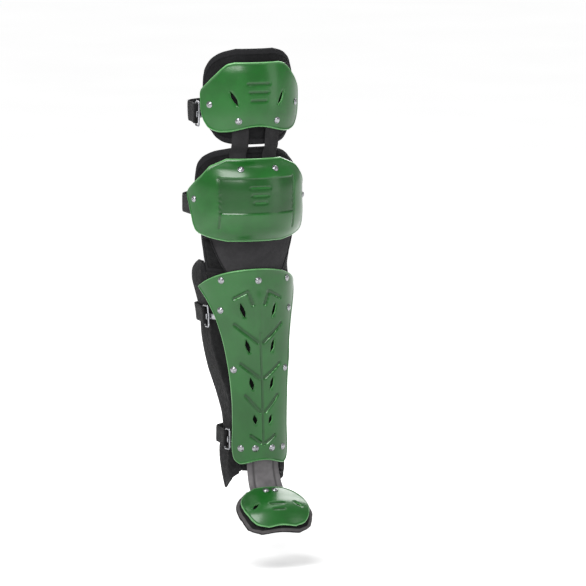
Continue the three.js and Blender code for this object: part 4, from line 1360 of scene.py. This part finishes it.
def band(name, node, path_at, level, width, wall, material, slot, ribs=9):
    """A flat band with soft edges whose every thread follows the guard's section."""
    shares = np.linspace(-1, 1, ribs)
    lines = [path_at(level + share * width / 2) for share in shares]
    points = np.array([line[0] for line in lines])
    outs = np.array([line[1] for line in lines])
    thickness = wall / 2 * np.sqrt(1 - 0.75 * np.abs(shares) ** 8)[:, None, None]
    front = points + thickness * outs
    back = points - thickness * outs
    rings = np.concatenate([front, back[::-1]]).transpose(1, 0, 2)
    made, faces = capped_loft(rings)
    middle = points[ribs // 2]
    run = np.concatenate([[0], np.cumsum(np.linalg.norm(np.diff(middle, axis=0), axis=1))])
    weave = np.zeros((len(made), 3))
    count = rings.shape[0] * rings.shape[1]
    weave[:count, 0] = np.repeat(run, rings.shape[1])
    weave[:count, 1] = np.tile(np.concatenate([shares, shares[::-1]]) * width / 2, rings.shape[0])
    weave[count:, 0] = [run[0], run[-1]]
    return add_piece(name, made, faces, material, slot, [node], weave)


def wire_loop(name, strap):
    """A wire rectangle with round corners, in the strap's fold and the hook."""
    half_length = LOOP_LENGTH / 2
    cut = 2 * WIRE_RADIUS
    half_height = strap["width"] / 2 + cut + SEAT_GAP
    middle = strap["hook"] + half_length
    corners = []
    for a_sign, b_sign, start in ((1, 1, 0), (-1, 1, 90), (-1, -1, 180), (1, -1, 270)):
        for angle in np.radians(np.linspace(start, start + 90, 7)):
            a = a_sign * (half_length - cut) + cut * math.cos(angle)
            b = b_sign * (half_height - cut) + cut * math.sin(angle)
            corners.append((a, b))
    flat = np.array(corners)
    flat = refine(flat, 1.5 * MM)
    path = wrap(strap["zone"], -(middle + flat[:, 0]), strap["z"] + flat[:, 1], BAR_OFFSET)
    tube(f"{name}_wire", path, WIRE_RADIUS, STEEL, "bright_steel", [f"{name}_loop"], sides=14)


def refine(line, step):
    """A closed line with points added on its long stretches."""
    made = []
    for start, end in zip(line, np.roll(line, -1, 0)):
        count = max(1, int(np.ceil(np.linalg.norm(end - start) / step)))
        made.extend(start + (end - start) * k / count for k in range(count))
    return np.array(made)


def strap_hook(name, strap):
    """A bent metal hook from under the plate, curled round the wire loop's front bar."""
    radius = WIRE_RADIUS + 4 * SEAT_GAP + HOOK_WALL / 2
    arcs, offsets, tilts = bar_turn(strap["hook"], radius, 1, 15)
    base_arcs = -np.linspace(strap["hook"] - LOOP_LENGTH, strap["hook"] - LOOP_LENGTH / 2, 4)

    def path_at(z):
        return joined(
            side_stations(strap["zone"], z, base_arcs, BAR_OFFSET - radius),
            side_stations(strap["zone"], z, arcs, offsets, tilts),
        )

    band(
        f"{name}_clasp", f"{name}_hook", path_at, strap["z"], HOOK_WIDTH, HOOK_WALL, STEEL,
        "bright_steel", 13,
    )


# The guard

plate(
    "thigh_shell", "thigh_plate", 150, 104, thigh_place, on_thigh, thigh_relief,
    vent_places(THIGH_VENTS, THIGH_HALF_ARC, thigh_level),
)
plate("knee_shell", "knee_plate", 180, 124, knee_place, on_knee, knee_relief)
plate(
    "shin_shell", "shin_plate", 128, 290, shin_place, on_shin, shin_relief,
    vent_places(SHIN_VENTS, SHIN_HALF_ARC, shin_level),
)
plate(
    "toe_shell", "toe_plate", 100, 84, toe_place, toe_up, toe_relief,
    vent_places(TOE_VENTS, TOE_HALF_WIDTH, toe_level),
)
rivets("thigh", THIGH_RIVETS, THIGH_HALF_ARC, on_thigh, thigh_level)
rivets("knee", KNEE_RIVETS, KNEE_HALF_ARC, on_knee, knee_level)
rivets("shin", SHIN_RIVETS, SHIN_HALF_ARC, on_shin, shin_level)
rivets("toe", TOE_RIVETS, TOE_HALF_WIDTH, toe_up, toe_level)

pad("thigh_liner", "thigh_pad", 110, 84, thigh_pad_place, on_thigh, pad_face, THIGH_PAD_WALL)
pad("knee_liner", "knee_pad", 120, 84, knee_pad_place, on_knee, knee_pad_face, KNEE_PAD_WALL)
pad("bridge_liner", "bridge_pad", 110, 44, bridge_place, on_shin, pad_face, BRIDGE_PAD_WALL)
pad("shin_liner", "shin_pad", 70, 150, shin_pad_place, on_shin, pad_face, SHIN_PAD_WALL)
for hand, side in SIDES:
    wing(f"calf_flap_{hand}", f"calf_wing_{hand}", side, calf_level, 60, 110)
    wing(f"ankle_flap_{hand}", f"ankle_wing_{hand}", side, ankle_level, 60, 44)
    link_tab(hand, side)

liner_seams()
bridge_cloth()
toe_pad_piece()
instep_strap()

for name, strap in STRAPS.items():
    path_of = hooked_path if "hook" in strap else knee_path
    band(
        f"{name}_webbing", f"{name}_strap", lambda z: path_of(strap, z), strap["z"],
        strap["width"], WEBBING_WALL, BLACK_WEBBING, "black_webbing",
    )
    if "hook" in strap:
        wire_loop(name, strap)
        strap_hook(name, strap)


# Studio

PHOTO_SIZE = 586
ORIGIN_PIXEL = (249, 197.5)
AZIMUTH = math.radians(-19.5)
ELEVATION = math.radians(7.5)
DISTANCE = 10
LENS = 396
SENSOR = 36
FLOOR_GAP = 60 * MM
FLOOR_GLOW = 0.62


def camera_axes():
    """Right, up and back directions of the camera."""
    back = Vector(
        (
            math.sin(AZIMUTH) * math.cos(ELEVATION),
            -math.cos(AZIMUTH) * math.cos(ELEVATION),
            math.sin(ELEVATION),
        )
    )
    right = Vector((math.cos(AZIMUTH), math.sin(AZIMUTH), 0))
    return right, back.cross(right), back


def add_camera():
    """The photograph's view: the origin falls on its own pixel."""
    right, up, back = camera_axes()
    metres_per_pixel = DISTANCE * SENSOR / LENS / PHOTO_SIZE
    aim = (
        right * (PHOTO_SIZE / 2 - ORIGIN_PIXEL[0]) * metres_per_pixel
        - up * (PHOTO_SIZE / 2 - ORIGIN_PIXEL[1]) * metres_per_pixel
    )
    data = bpy.data.cameras.new("camera")
    data.lens = LENS
    data.sensor_width = SENSOR
    camera = bpy.data.objects.new("camera", data)
    turn = Matrix((right, up, back)).transposed().to_4x4()
    camera.matrix_world = Matrix.Translation(aim + back * DISTANCE) @ turn
    bpy.context.scene.collection.objects.link(camera)
    bpy.context.scene.camera = camera


def add_floor(level):
    size = 30.0
    mesh = bpy.data.meshes.new("floor")
    corners = [(-size, -size, level), (size, -size, level), (size, size, level), (-size, size, level)]
    mesh.from_pydata(corners, [], [(0, 1, 2, 3)])
    finish = Finish("pale_floor", Roughness=0.9, Specular_IOR_Level=0.1)
    tone = finish.mottle(3.0, 3.0, 0.2, 0.8)
    finish.colour(finish.blend(tone, rgb("ececec"), rgb("f2f2f2")))
    finish.shader.inputs["Emission Color"].default_value = (1, 1, 1, 1)
    away = finish.node("ShaderNodeVectorMath", {0: finish.place()}, operation="LENGTH")
    glow = finish.span(away.outputs["Value"], 0.7, 1.4, 0.0, FLOOR_GLOW)
    finish.tree.links.new(glow, finish.shader.inputs["Emission Strength"])
    mesh.materials.append(finish.material)
    floor = bpy.data.objects.new("floor", mesh)
    bpy.context.scene.collection.objects.link(floor)


def add_light(name, place, aim, size, power):
    data = bpy.data.lights.new(name, "AREA")
    data.shape = "RECTANGLE"
    data.size = size[0]
    data.size_y = size[1]
    data.energy = power
    light = bpy.data.objects.new(name, data)
    light.location = place
    light.rotation_euler = (Vector(aim) - Vector(place)).to_track_quat("-Z", "Y").to_euler()
    bpy.context.scene.collection.objects.link(light)


def add_world():
    world = bpy.data.worlds.new("studio")
    world.use_nodes = True
    background = world.node_tree.nodes["Background"]
    background.inputs["Color"].default_value = (1, 1, 1, 1)
    background.inputs["Strength"].default_value = 0.42
    bpy.context.scene.world = world


add_camera()
add_floor(cad_bounds[0][2] - FLOOR_GAP)
middle = (0, 0, -0.15)
add_light("key", (-1.1, -1.4, 1.6), middle, (1.7, 1.3), 70)
add_light("fill", (1.8, -1.5, 0.5), middle, (0.8, 1.6), 6)
add_light("top", (0.1, 0.4, 1.9), middle, (1.6, 1.0), 16)
add_light("back", (0.9, 1.9, 1.1), middle, (1.5, 1.5), 40)
add_world()
bpy.context.scene.view_settings.view_transform = "Standard"
